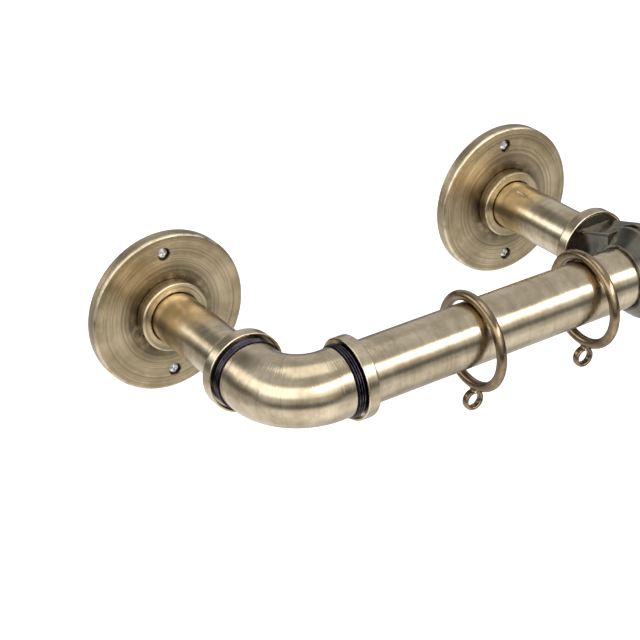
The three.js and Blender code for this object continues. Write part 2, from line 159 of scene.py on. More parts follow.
def rounded(corners: Sequence[Corner], closed: bool = True) -> Profile:
    """Round the corners of a profile.

    A rounded corner is an arc whose centre lies on the bisector of its two edges, at the rounding
    Just past each end of the arc stands a holding point, so that flat faces keep flat shading. The
    edge tone is 1 at the middle of an outside corner's arc, -1 at the middle of an inside corner's,
    and 0 on straight stretches; it makes outside corners paler, partly wear and partly painted
    highlight, and inside corners darker, partly grime and partly painted shade.

    Args:
        corners: the corners in order. An open profile starts and ends on the axis.
        closed: whether the last corner joins the first one.

    Returns:
        The rounded profile.
    """
    flat = np.array([[corner.along, corner.radius] for corner in corners])
    following = np.roll(flat, -1, axis=0)
    winding = np.sign(np.sum(flat[:, 0] * following[:, 1] - following[:, 0] * flat[:, 1]))
    pieces = []
    for index, corner in enumerate(corners):
        here = flat[index]
        if corner.rounding == 0:
            pieces.append(np.array([[here[0], here[1], 0.0]]))
            continue
        back = flat[index - 1] - here
        onward = following[index] - here
        back /= np.linalg.norm(back)
        onward /= np.linalg.norm(onward)
        half = math.acos(float(np.clip(back @ onward, -1, 1))) / 2
        centre = here + (back + onward) / np.linalg.norm(back + onward) * corner.rounding / math.sin(half)
        ends = here + np.array([back, onward]) * corner.rounding / math.tan(half)
        angles = np.arctan2(ends[:, 1] - centre[1], ends[:, 0] - centre[0])
        sweep = (angles[1] - angles[0] + math.pi) % FULL_TURN - math.pi
        share = np.linspace(0, 1, max(3, math.ceil(abs(sweep) / ARC_STEP)) + 1)
        turn = angles[0] + sweep * share
        arc = centre + corner.rounding * np.column_stack([np.cos(turn), np.sin(turn)])
        edge_tone = np.sin(math.pi * share) * np.sign(sweep) * winding
        hold = HOLD * corner.rounding
        before = ends[0] + back * hold
        after = ends[1] + onward * hold
        rows = np.vstack([before, arc, after])
        pieces.append(np.column_stack([rows, np.concatenate([[0.0], edge_tone, [0.0]])]))
    return Profile(np.vstack(pieces), closed)


def solid(*corners: Corner) -> Profile:
    """Round the corners of a profile that starts and ends on the axis."""
    return rounded(corners, closed=False)


def bar(low: float, high: float, inner: float, outer: float, edge: float) -> Profile:
    """Profile of a tube between two distances along its axis, with equally rounded edges."""
    ends = ((low, inner), (high, inner), (high, outer), (low, outer))
    return rounded([Corner(along, radius, edge) for along, radius in ends])


def drill(low: float, high: float, radius: float, mouth: float) -> Profile:
    """Profile of a solid drill whose far end widens at 45 degrees, to break the edge of its hole.

    Args:
        low: where the drill's flat point stops.
        high: the surface that the hole opens in.
        radius: the hole's radius.
        mouth: depth of the broken edge.

    Returns:
        The open profile of the drill, which stands out beyond the surface. Its edge tone is -1 all
        over, so that the wall of its hole is darkened, partly grime and partly painted shade.
    """
    wide, beyond = radius + 2 * mouth, high + 2 * radius
    shaft = Corner(low, 0), Corner(low, radius), Corner(high - mouth, radius)
    outline = solid(*shaft, Corner(high + mouth, wide), Corner(beyond, wide), Corner(beyond, 0))
    outline.rows[:, 2] = -1
    return outline


class Axis(Protocol):
    """Anything that carries turning coordinates into space."""

    def place(self, along: np.ndarray, radius: np.ndarray, angle: np.ndarray) -> np.ndarray:
        """Points in space, with X, Y and Z in the last dimension."""


@dataclass(frozen=True)
class StraightAxis:
    """A straight axis through a point.

    A point in space is start + along * direction + radius * (cos(angle) * side + sin(angle) * other),
    where other is direction x side.
    """

    start: np.ndarray
    direction: np.ndarray
    side: np.ndarray

    @classmethod
    def towards(cls, start: Sequence[float], direction: Sequence[float]) -> "StraightAxis":
        """Make an axis whose zero angle is as near to straight up as it can be.

        Args:
            start: the point at distance 0.
            direction: the way that distances grow.

        Returns:
            The axis, with a unit direction.
        """
        along = np.array(direction, dtype=float)
        along /= np.linalg.norm(along)
        up = UP if abs(along[2]) < NEARLY_UPRIGHT else ALONG_POLE
        side = up - along * (up @ along)
        return cls(np.array(start, dtype=float), along, side / np.linalg.norm(side))

    def moved(self, distance: float) -> "StraightAxis":
        """The same axis, started farther along."""
        return replace(self, start=self.start + self.direction * distance)

    def place(self, along: np.ndarray, radius: np.ndarray, angle: np.ndarray) -> np.ndarray:
        """Carry turning coordinates into space, by the formula above."""
        other = np.cross(self.direction, self.side)
        out = np.cos(angle)[..., None] * self.side + np.sin(angle)[..., None] * other
        return self.start + along[..., None] * self.direction + radius[..., None] * out


@dataclass(frozen=True)
class ElbowAxis:
    """The centre line of an elbow: straight, a quarter bend, straight.

    On the bend the centre line is at (1 - cos(a), 1 - sin(a)) times the bend radius from the corner,
    measured along the pole and along the stem, where a is the distance gone round the bend over its
    radius. The section's in-plane direction is (cos(a), sin(a)), towards the centre of the bend.
    """

    corner: np.ndarray
    pole_way: np.ndarray
    stem_way: np.ndarray
    bend: float
    straight: float

    @property
    def length(self) -> float:
        """Length of the centre line from mouth to mouth."""
        return 2 * self.straight + self.bend * QUARTER_TURN

    def place(self, along: np.ndarray, radius: np.ndarray, angle: np.ndarray) -> np.ndarray:
        """Carry turning coordinates into space, by the formula above."""
        before = np.minimum(along, self.straight)
        after = np.maximum(along - self.straight - self.bend * QUARTER_TURN, 0)
        gone = np.clip((along - self.straight) / self.bend, 0, QUARTER_TURN)
        on_pole = self.bend * (1 - np.cos(gone)) + after + radius * np.cos(angle) * np.cos(gone)
        on_stem = self.bend * (1 - np.sin(gone)) + self.straight - before
        on_stem = on_stem + radius * np.cos(angle) * np.sin(gone)
        up = UP * (radius * np.sin(angle))[..., None]
        return self.corner + on_pole[..., None] * self.pole_way + on_stem[..., None] * self.stem_way + up


# ---- meshes ---------------------------------------------------------------------------------------


class Join(Enum):
    """How a tool changes a piece."""

    CUT = "DIFFERENCE"
    ADD = "UNION"


def grid_faces(rows: int, sides: int, closed: bool) -> tuple[np.ndarray, np.ndarray]:
    """Faces of a turned grid.

    A quad joins each point to its neighbours along the profile and round the axis. An open profile
    has one shared point at each end instead of a row, joined to its row by a fan of triangles.

    Args:
        rows: number of full rows of points.
        sides: number of points in a row.
        closed: whether the last row joins the first.

    Returns:
        Quads and triangles as arrays of vertex numbers.
    """
    row, side = np.meshgrid(np.arange(rows if closed else rows - 1), np.arange(sides), indexing="ij")
    this, that = row * sides, (row + 1) % rows * sides
    beside = (side + 1) % sides
    quads = np.stack([this + side, that + side, that + beside, this + beside], axis=-1).reshape(-1, 4)
    if closed:
        return quads, np.empty((0, 3), dtype=int)
    around = np.arange(sides)
    ahead = (around + 1) % sides
    first, last = np.full(sides, rows * sides), np.full(sides, rows * sides + 1)
    end = (rows - 1) * sides
    fans = [np.column_stack([first, around, ahead]), np.column_stack([last, end + ahead, end + around])]
    return quads, np.vstack(fans)


def volume(points: np.ndarray, triangles: np.ndarray) -> float:
    """Signed volume inside triangles: a sixth of the sum of a . (b x c)."""
    first, second, third = (points[triangles[:, k]] for k in range(3))
    return float(np.einsum("ij,ij->", first, np.cross(second, third)) / 6)


def turned(
    name: str,
    profile: Profile,
    axis: Axis,
    sides: int = FINE_SIDES,
    shape: Shape | None = None,
) -> bpy.types.Object:
    """Carry a profile round an axis and make it a closed mesh that faces outwards.

    Args:
        name: name of the new piece.
        profile: the line to carry. An open one starts and ends on the axis.
        axis: what places the turning coordinates in space.
        sides: number of points round the axis.
        shape: changes distance and radius as a function of distance, radius and angle.

    Returns:
        The new object, which sits at the origin.
    """
    angle = np.linspace(0, FULL_TURN, sides, endpoint=False)
    along, turn = np.meshgrid(profile.rows[:, 0], angle, indexing="ij")
    radius = np.repeat(profile.rows[:, 1:2], sides, axis=1)
    if shape is not None:
        along, radius = shape(along, radius, turn)
    placed = axis.place(along, radius, turn)
    values = np.column_stack([profile.rows[:, 2], profile.travelled])
    values = np.repeat(values[:, None, :], sides, axis=1)
    if profile.closed:
        points, values = placed.reshape(-1, 3), values.reshape(-1, 2)
        rows = len(placed)
    else:
        points = np.vstack([placed[1:-1].reshape(-1, 3), placed[:1, 0], placed[-1:, 0]])
        values = np.vstack([values[1:-1].reshape(-1, 2), values[:1, 0], values[-1:, 0]])
        rows = len(placed) - 2
    quads, triangles = grid_faces(rows, sides, profile.closed)
    halves = np.vstack([quads[:, [0, 1, 2]], quads[:, [0, 2, 3]], triangles])
    if volume(points, halves) < 0:
        quads, triangles = quads[:, ::-1], triangles[:, ::-1]
    mesh = bpy.data.meshes.new(name)
    mesh.from_pydata(points.tolist(), [], quads.tolist() + triangles.tolist())
    used = np.empty(len(mesh.loops), dtype=np.int32)
    mesh.loops.foreach_get("vertex_index", used)
    mesh.uv_layers.new(name=TURNING).data.foreach_set("uv", values[used].astype(np.float32).ravel())
    smooth(mesh)
    piece = bpy.data.objects.new(name, mesh)
    bpy.context.scene.collection.objects.link(piece)
    return piece


def smooth(mesh: bpy.types.Mesh) -> None:
    """Shade a mesh smooth, with its sharp edges kept."""
    mesh.polygons.foreach_set("use_smooth", np.ones(len(mesh.polygons), dtype=bool))
    mesh.set_sharp_from_angle(angle=SHARP_ANGLE)
    mesh.update()


def split(shape: bmesh.types.BMesh) -> None:
    """Split faces with many corners into triangles."""
    many = [face for face in shape.faces if len(face.verts) > MOST_CORNERS]
    bmesh.ops.triangulate(shape, faces=many)


def close(mesh: bpy.types.Mesh) -> None:
    """Merge the coincident points that a cut leaves, and fill the slits along its edges."""
    shape = bmesh.new()
    shape.from_mesh(mesh)
    bmesh.ops.remove_doubles(shape, verts=shape.verts, dist=SAME_POINT)
    bmesh.ops.dissolve_degenerate(shape, dist=SAME_POINT, edges=shape.edges)
    split(shape)
    slits = [edge for edge in shape.edges if edge.is_boundary]
    bmesh.ops.holes_fill(shape, edges=slits, sides=0)
    split(shape)
    shape.to_mesh(mesh)
    shape.free()


def work(piece: bpy.types.Object, tools: Sequence[bpy.types.Object], how: Join) -> bpy.types.Object:
    """Cut tools out of a piece or add them to it, then throw the tools away.

    Args:
        piece: the piece to change.
        tools: closed meshes that cross it.
        how: whether they are cut out or added.

    Returns:
        The same piece, with a plain closed mesh and no modifiers.
    """
    for tool in tools:
        modifier = piece.modifiers.new(how.name.lower(), "BOOLEAN")
        modifier.operation = how.value
        modifier.solver = "EXACT"
        modifier.object = tool
    state = bpy.context.evaluated_depsgraph_get()
    mesh = bpy.data.meshes.new_from_object(
        piece.evaluated_get(state), preserve_all_data_layers=True, depsgraph=state
    )
    piece.modifiers.clear()
    piece.data = mesh
    close(mesh)
    smooth(mesh)
    for tool in tools:
        bpy.data.objects.remove(tool)
    return piece


# ---- shader building ------------------------------------------------------------------------------


class Number:
    """A number socket that takes part in Python expressions."""

    def __init__(self, graph: "Graph", socket: bpy.types.NodeSocket) -> None:
        """Keep the graph and the socket."""
        self.graph = graph
        self.socket = socket

    def _math(self, operation: str, *values: "Number | float", clamp: bool = False) -> "Number":
        """Add a Math node.

        Args:
            operation: the node's operation.
            values: its inputs in order.
            clamp: whether the result is kept between 0 and 1.

        Returns:
            The node's result.
        """
        node = self.graph.node(
            "ShaderNodeMath", {"operation": operation, "use_clamp": clamp}, dict(enumerate(values))
        )
        return Number(self.graph, node.outputs[0])

    def __add__(self, other: "Number | float") -> "Number":
        """Sum."""
        return self._math("ADD", self, other)

    def __sub__(self, other: "Number | float") -> "Number":
        """Difference."""
        return self._math("SUBTRACT", self, other)

    def __rsub__(self, other: float) -> "Number":
        """Difference from a plain number."""
        return self._math("SUBTRACT", other, self)

    def __mul__(self, other: "Number | float") -> "Number":
        """Product."""
        return self._math("MULTIPLY", self, other)

    __radd__ = __add__

    def unit(self) -> "Number":
        """The same value, kept between 0 and 1."""
        return self._math("ADD", self, 0.0, clamp=True)

    def between(self, low: float, high: float) -> "Number":
        """Where the value stands between two others, from 0 to 1 (from 1 to 0 if low is above high)."""
        node = self.graph.node(
            "ShaderNodeMapRange",
            {"interpolation_type": "SMOOTHSTEP"},
            {"Value": self, "From Min": low, "From Max": high, "To Min": 0.0, "To Max": 1.0},
        )
        return Number(self.graph, node.outputs[0])


class Graph:
    """A node tree that is built by calls."""

    def __init__(self, tree: bpy.types.NodeTree) -> None:
        """Start an empty tree."""
        self.tree = tree
        tree.nodes.clear()

    def node(
        self,
        kind: str,
        settings: dict[str, object] | None = None,
        sockets: dict[str | int, object] | None = None,
    ) -> bpy.types.Node:
        """Add a node.

        Args:
            kind: the node's type.
            settings: its properties, set before its sockets.
            sockets: a value, socket or number for each named or numbered input.

        Returns:
            The new node.
        """
        node = self.tree.nodes.new(kind)
        for key, setting in (settings or {}).items():
            setattr(node, key, setting)
        for key, value in (sockets or {}).items():
            if isinstance(value, Number):
                value = value.socket
            if isinstance(value, bpy.types.NodeSocket):
                self.tree.links.new(value, node.inputs[key])
            else:
                node.inputs[key].default_value = value
        return node

    def place(self) -> bpy.types.NodeSocket:
        """The point's place, in the object's own coordinates."""
        return self.node("ShaderNodeTexCoord").outputs["Object"]

    def parts(self, vector: bpy.types.NodeSocket) -> tuple[Number, Number, Number]:
        """The three parts of a vector."""
        node = self.node("ShaderNodeSeparateXYZ", None, {0: vector})
        return tuple(Number(self, output) for output in node.outputs)

    def vector(self, x: Number | float, y: Number | float, z: Number | float) -> bpy.types.NodeSocket:
        """A vector made of three numbers."""
        return self.node("ShaderNodeCombineXYZ", None, {0: x, 1: y, 2: z}).outputs[0]

    def noise(
        self, vector: bpy.types.NodeSocket, scale: float, detail: float, roughness: float
    ) -> Number:
        """Cloudy noise about 0.5.

        Args:
            vector: where to look it up.
            scale: features per unit of the vector.
            detail: number of finer layers.
            roughness: weight of the finer layers.

        Returns:
            The noise.
        """
        sockets = {"Vector": vector, "Scale": scale, "Detail": detail, "Roughness": roughness}
        return Number(self, self.node("ShaderNodeTexNoise", None, sockets).outputs[0])

    def mix(self, share: Number | float, first: object, second: object) -> bpy.types.NodeSocket:
        """A colour that goes from the first to the second as the share goes from 0 to 1."""
        node = self.node("ShaderNodeMix", {"data_type": "RGBA"}, {0: share, 6: first, 7: second})
        return node.outputs[2]

    def bump(self, height: Number, distance: float) -> bpy.types.NodeSocket:
        """A normal that is tilted by a height map."""
        sockets = {"Height": height, "Distance": distance, "Strength": 1.0}
        return self.node("ShaderNodeBump", None, sockets).outputs[0]

    def principled(self, sockets: dict[str, object]) -> None:
        """End a material's tree with a principled shader."""
        shader = self.node("ShaderNodeBsdfPrincipled", None, sockets)
        self.node("ShaderNodeOutputMaterial", None, {"Surface": shader.outputs[0]})


# ---- finishes -------------------------------------------------------------------------------------

Colour = tuple[float, float, float, float]


def tones(*codes: str) -> tuple[Colour, ...]:
    """Linear colours from web colours, by the sRGB curve."""
    shown = np.array([[int(code[k : k + 2], 16) for k in (1, 3, 5)] for code in codes]) / 255
    linear = np.where(shown <= 0.04045, shown / 12.92, ((shown + 0.055) / 1.055) ** 2.4)
    return tuple((*row, 1.0) for row in linear.tolist())


class Slot(Enum):
    """The record's material slots."""

    BRASS = "antique_brass"
    BRONZE = "ring_bronze"
    NICKEL = "black_nickel"
    GUNMETAL = "gunmetal"
    ZINC = "bright_zinc"
    BLACK = "black_steel"
    STEEL = "plain_steel"


# Detail and roughness of each noise in a metal.
HAIR_NOISE = (4, 0.62)
RING_NOISE = (3, 0.6)
CLOUD_NOISE = (4, 0.6)
SPECK_NOISE = (3, 0.7)
PATCH_NOISE = (3, 0.6)
# The two values that each soft step goes between. A step that starts high falls.
HAIR_STEP = (0.42, 0.2)
RING_STEP = (0.55, 0.3)
CLOUD_STEP = (0.3, 0.7)
SPECK_STEP = (0.62, 0.8)
EDGE_STEP = (0.1, 0.9)
# The first step breaks up the paler outside corners, which are partly wear and partly painted highlight.
WORN_AND_SHEEN_STEP = (0.25, 0.6)
# This step breaks up the darker inside corners and hole walls, partly grime and partly painted shade.
GRIME_AND_SHADE_STEP = (0.2, 0.6)
# This step breaks up the painted shade on the plate round the cover ring.
SHADE_BAND_STEP = (0.1, 0.6)
# How much finer than the clouds the specks, the patches of wear and the smears are.
SPECK_FINENESS = 6
PATCH_FINENESS = 4
SMEAR_FINENESS = 1.7
HAIRS_PER_RING = 5
SPECK_ROUGHNESS = 0.12


@dataclass(frozen=True)
class MetalFinish:
    """A plated metal with mottled tone, hairlines from turning or polishing, and paler edges that are
    partly wear and partly painted highlight.

    The palette holds four tones: deep, light, stain and worn; the stain tone also serves as painted
    shade and the worn tone as painted highlight. The tone goes from deep to light with soft clouds,
    stains darken it in scattered spots, and the hairlines run round the piece: they are noise over the
    distance along the profile, which drifts slowly from place to place. Outside corners are paler,
    partly worn bright and partly a painted highlight, and inside corners and hole walls are darker,
    partly grime and partly painted shade. Painted shade also darkens the profile between the two
    distances of the shade band.
    """

    name: str
    slot: Slot
    palette: tuple[Colour, ...]
    roughness: float = 0.2
    roughness_spread: float = 0.1
    cloud_scale: float = 55.0
    stain_amount: float = 0.3
    hair_density: float = 1800.0
    hair_height: float = 0.045 * MM
    hair_tone: float = 0.28
    ring_tone: float = 0.16
    drift: float = 30.0  # how quickly hairlines change on their way round, per metre
    # Distances along the profile between which painted shade darkens the tone.
    shade_band: tuple[float, float] | None = None
    # How strongly outside corners turn paler: partly wear, partly painted highlight.
    edge_tone: float = 0.38
    # How strongly inside corners, hole walls and the shade band darken: grime and painted shade.
    grime_and_shade: float = 0.6
    turned_surface: bool = True

    def material(self) -> bpy.types.Material:
        """Build the material.

        Returns:
            A new material, with every varying value on base colour, roughness and normal.
        """
        material = bpy.data.materials.new(self.name)
        material.use_nodes = True
        graph = Graph(material.node_tree)
        place = graph.place()
        x, y, z = graph.parts(place)
        deep, light, stain_and_shade, worn_and_sheen = self.palette
        density, clouds = self.hair_density, self.cloud_scale
        if self.turned_surface:
            turning = graph.node("ShaderNodeUVMap", {"uv_map": TURNING}).outputs[0]
            edge, travelled, _ = graph.parts(turning)
            wander = (x * self.drift, y * self.drift, z * self.drift)
            lines = graph.vector(travelled * density + wander[0], *wander[1:])
            wide = graph.vector(travelled * (density / HAIRS_PER_RING) + wander[0], *wander[1:])
        else:
            lines = graph.vector(x * density, y * density, z * density)
            wide = graph.vector(x * clouds, y * density, z * clouds)
        hair = graph.noise(lines, 1.0, *HAIR_NOISE)
        rings = graph.noise(wide, 1.0, *RING_NOISE)
        cloud = graph.noise(place, clouds, *CLOUD_NOISE).between(*CLOUD_STEP)
        speck = graph.noise(place, clouds * SPECK_FINENESS, *SPECK_NOISE).between(*SPECK_STEP)
        layers = [
            (hair.between(*HAIR_STEP) * self.hair_tone, stain_and_shade),
            (rings.between(*RING_STEP) * self.ring_tone, stain_and_shade),
            (speck * self.stain_amount, stain_and_shade),
        ]
        if self.turned_surface:
            patch = graph.noise(place, clouds * PATCH_FINENESS, *PATCH_NOISE)
            outside, inside = edge.between(*EDGE_STEP), (edge * -1.0).between(*EDGE_STEP)
            # Paler outside corners: partly wear, partly painted highlight.
            layers.append((outside * patch.between(*WORN_AND_SHEEN_STEP) * self.edge_tone, worn_and_sheen))
            # Darker inside corners and hole walls: partly grime, partly painted shade.
            layers.append((inside * patch.between(*GRIME_AND_SHADE_STEP) * self.grime_and_shade, stain_and_shade))
            # Painted shade on the plate round the cover ring, between the shade band's two distances.
            if self.shade_band is not None:
                band_shade = travelled.between(*self.shade_band)
                layers.append((band_shade * patch.between(*SHADE_BAND_STEP) * self.grime_and_shade, stain_and_shade))
        tone = graph.mix(cloud, deep, light)
        for share, layer in layers:
            tone = graph.mix(share.unit(), tone, layer)
        smear = graph.noise(place, clouds * SMEAR_FINENESS, *PATCH_NOISE) - 0.5
        rough = self.roughness + smear * self.roughness_spread + (hair - 0.5) * self.roughness_spread
        rough = (rough + speck * (SPECK_ROUGHNESS * self.stain_amount)).unit()
        normal = graph.bump(hair, self.hair_height)
        graph.principled({"Base Color": tone, "Roughness": rough, "Metallic": 1.0, "Normal": normal})
        return material


# Each palette: deep, light, a dark tone for stains and painted shade, and a pale tone for wear and
# painted highlight.
BRASS = MetalFinish(
    "aged_brass", Slot.BRASS, tones("#b8a88c", "#ddceb2", "#594a37", "#f3e9d2"), cloud_scale=75.0
)
BRUSHED_BRASS = replace(BRASS, name="brushed_brass", hair_height=0.08 * MM)
SPUN_BRASS = MetalFinish(
    "spun_brass", Slot.BRASS, tones("#a89778", "#d2c09e", "#4a3c2a", "#f3e9d2"),
    hair_density=2600.0, hair_height=0.24 * MM, hair_tone=0.4, ring_tone=0.42, drift=9.0, grime_and_shade=0.95,
)
BRONZE = MetalFinish(
    "ring_bronze", Slot.BRONZE, tones("#75654f", "#9c896d", "#3a2f25", "#c4ae8c"),
    stain_amount=0.5, cloud_scale=90.0, hair_height=0.02 * MM,
)
NICKEL = MetalFinish(
    "black_nickel", Slot.NICKEL, tones("#201e22", "#35313a", "#0f0e11", "#9a8fa0"),
    roughness=0.14, cloud_scale=120.0, hair_height=0.015 * MM,
)
GUNMETAL = MetalFinish(
    "gunmetal", Slot.GUNMETAL, tones("#66635b", "#8b877b", "#262520", "#cdb78d"),
    cloud_scale=90.0, hair_height=0.02 * MM,
)
ZINC = MetalFinish(
    "bright_zinc", Slot.ZINC, tones("#d5d8dc", "#f2f3f4", "#8b8f96", "#ffffff"),
    roughness=0.14, cloud_scale=400.0, hair_density=3000.0, hair_height=0.01 * MM,
)
BLACK_STEEL = MetalFinish(
    "black_oxide_steel", Slot.BLACK, tones("#2f2f33", "#434348", "#151517", "#77777c"),
    roughness=0.34, cloud_scale=300.0, hair_density=3000.0, hair_height=0.015 * MM,
)
PLAIN_STEEL = MetalFinish(
    "plain_steel", Slot.STEEL, tones("#9d9fa2", "#b9bbbd", "#64635f", "#d7d8d9"),
    roughness=0.36, cloud_scale=150.0, hair_density=900.0, hair_height=0.03 * MM, turned_surface=False,
)


class Workshop:
    """Dresses pieces, ties them to the frame and keeps count of them."""

    def __init__(self) -> None:
        """Start with no materials made."""
        self.materials: dict[str, bpy.types.Material] = {}
        self.made: list[str] = []

    def material(self, finish: MetalFinish) -> bpy.types.Material:
        """The finish's material, made once."""
        if finish.name not in self.materials:
            self.materials[finish.name] = finish.material()
        return self.materials[finish.name]

    def fit(self, piece: bpy.types.Object, node: str, finish: MetalFinish, body: str = ROD) -> None:
        """Put a finished piece in the place of a CAD node.

        Args:
            piece: the new piece.
            node: the CAD node that it stands for.
            finish: what it is dressed in.
            body: the CAD body that it moves with.
        """
        piece.data.materials.clear()
        piece.data.materials.append(self.material(finish))
        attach(piece, body)
        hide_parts(node)
        self.made.append(piece.name)
        LOG.info("%s: %d faces, for %s", piece.name, len(piece.data.polygons), node)

    def dress_node(self, node: str, finish: MetalFinish) -> None:
        """Give a carried-over CAD node its finish."""
        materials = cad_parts[node].data.materials
        materials.clear()
        materials.append(self.material(finish))
        LOG.info("%s: CAD node dressed in %s", node, finish.name)


# ---- fasteners ------------------------------------------------------------------------------------


@dataclass(frozen=True)
class GrubScrew:
    """A headless screw with a hexagon socket, along an axis that points out of its hole."""

    radius: float
    length: float
    chamfer: float = 0.25 * MM
    socket_share: float = 0.58
    socket_depth_share: float = 0.5
    socket_slack: float = 1.001  # radii up to this much of the socket's belong to it

    def profile(self) -> Profile:
        """Profile from the point to the bottom of the socket, all of it on or round the axis."""
        narrow, top = self.radius - self.chamfer, self.length - self.chamfer
        socket = self.radius * self.socket_share
        floor = self.length * (1 - self.socket_depth_share)
        side = Corner(self.chamfer, self.radius), Corner(top, self.radius)
        hollow = Corner(self.length, socket), Corner(floor, socket), Corner(floor - socket / 3, 0)
        return solid(Corner(0, 0), Corner(0, narrow), *side, Corner(self.length, narrow), *hollow)

    def hexagon(self, along: np.ndarray, radius: np.ndarray, angle: np.ndarray) -> tuple:
        """Turn the socket's circle into a hexagon.

        Inside the socket the radius is the corner radius times cos(30) / cos(t), where t is the
        angle from the nearest flat's middle. Elsewhere it is left as it is.

        Args:
            along: distances along the screw.
            radius: radii.
            angle: angles round the screw.

        Returns:
            The distances and the changed radii.
        """
        sixth = FULL_TURN / 6
        from_flat = angle % sixth - sixth / 2
        hexagonal = math.cos(sixth / 2) / np.cos(from_flat)
        inside = radius <= self.radius * self.socket_share * self.socket_slack
        return along, np.where(inside, radius * hexagonal, radius)

    def build(self, name: str, axis: StraightAxis) -> bpy.types.Object:
        """Make the screw's mesh."""
        return turned(name, self.profile(), axis, SMALL_SIDES, self.hexagon)


@dataclass(frozen=True)
class WallScrew:
    """A domed wood screw with a cross recess and a helical thread.

    Distances run from the top of the head towards the point.
    """

    head_radius: float
    head_height: float
    shank_radius: float
    length: float
    head_edge: float = 0.12 * MM
    dome_rows: int = 26
    dome_share: float = 0.5  # the dome's depth over the head's height, were its edge upright
    dome_fullness: float = 0.96  # 1 would make the dome's edge upright
    core_share: float = 0.68
    pitch: float = 1.5 * MM
    rows_per_turn: int = 9
    thread_start: float = 1.15  # over the head's height
    tip: float = 4 * MM
    recess_half_length: float = 1.75 * MM
    recess_half_width: float = 0.36 * MM
    recess_depth: float = 1.0 * MM
    recess_edge: float = 0.12 * MM
    recess_taper: float = 0.55
    recess_reach: float = 0.8  # the share of the head's height that the recess may press

    def profile(self) -> Profile:
        """Profile from the top of the head to the point."""
        lift = np.linspace(0, 1, self.dome_rows)
        sunk = self.dome_share * self.head_height * (1 - np.sqrt(1 - self.dome_fullness * lift**2))
        dome = np.column_stack([sunk, self.head_radius * lift, np.zeros(self.dome_rows)])
        rest = solid(
            Corner(self.head_height, self.head_radius, self.head_edge),
            Corner(self.head_height, self.shank_radius),
            Corner(self.length - self.tip, self.shank_radius),
            Corner(self.length, 0),
        )
        whole = Profile(np.vstack([dome, rest.rows]), closed=False)
        return whole.divided(self.pitch / self.rows_per_turn)

    def shape(self, along: np.ndarray, radius: np.ndarray, angle: np.ndarray) -> tuple:
        """Press the recess into the head and cut the thread into the shank.

        The recess is as deep as the larger of two crossing bars at each point, with soft edges, and
        tapers towards its ends. The thread's radius goes from the core to the full radius as a
        triangle wave of (distance / pitch - angle / full turn).

        Args:
            along: distances from the top of the head.
            radius: radii.
            angle: angles round the screw.

        Returns:
            The changed distances and radii.
        """
        across, upright = np.abs(radius * np.cos(angle)), np.abs(radius * np.sin(angle))

        def bar_mask(longways: np.ndarray, sideways: np.ndarray) -> np.ndarray:
            """How far inside one bar of the recess a point is, from 0 to 1."""
            reach = np.minimum(self.recess_half_length - longways, self.recess_half_width - sideways)
            return np.clip(reach / self.recess_edge + 0.5, 0, 1)

        inside = np.maximum(bar_mask(across, upright), bar_mask(upright, across))
        taper = 1 - self.recess_taper * np.clip(radius / self.recess_half_length, 0, 1)
        on_head = along < self.head_height * self.recess_reach
        pressed = np.where(on_head, self.recess_depth * inside * taper, 0)
        turn = (along / self.pitch - angle / FULL_TURN) % 1
        crest = 1 - np.abs(2 * turn - 1)
        start = self.head_height * self.thread_start
        depth = np.clip((along - start) / self.pitch, 0, 1) * (1 - self.core_share)
        threaded = radius * (1 - depth * (1 - crest))
        return along + pressed, np.where(along > start, threaded, radius)

    def build(self, name: str, axis: StraightAxis) -> bpy.types.Object:
        """Make the screw's mesh."""
        return turned(name, self.profile(), axis, SMALL_SIDES, self.shape)


# ---- bracket foot ---------------------------------------------------------------------------------


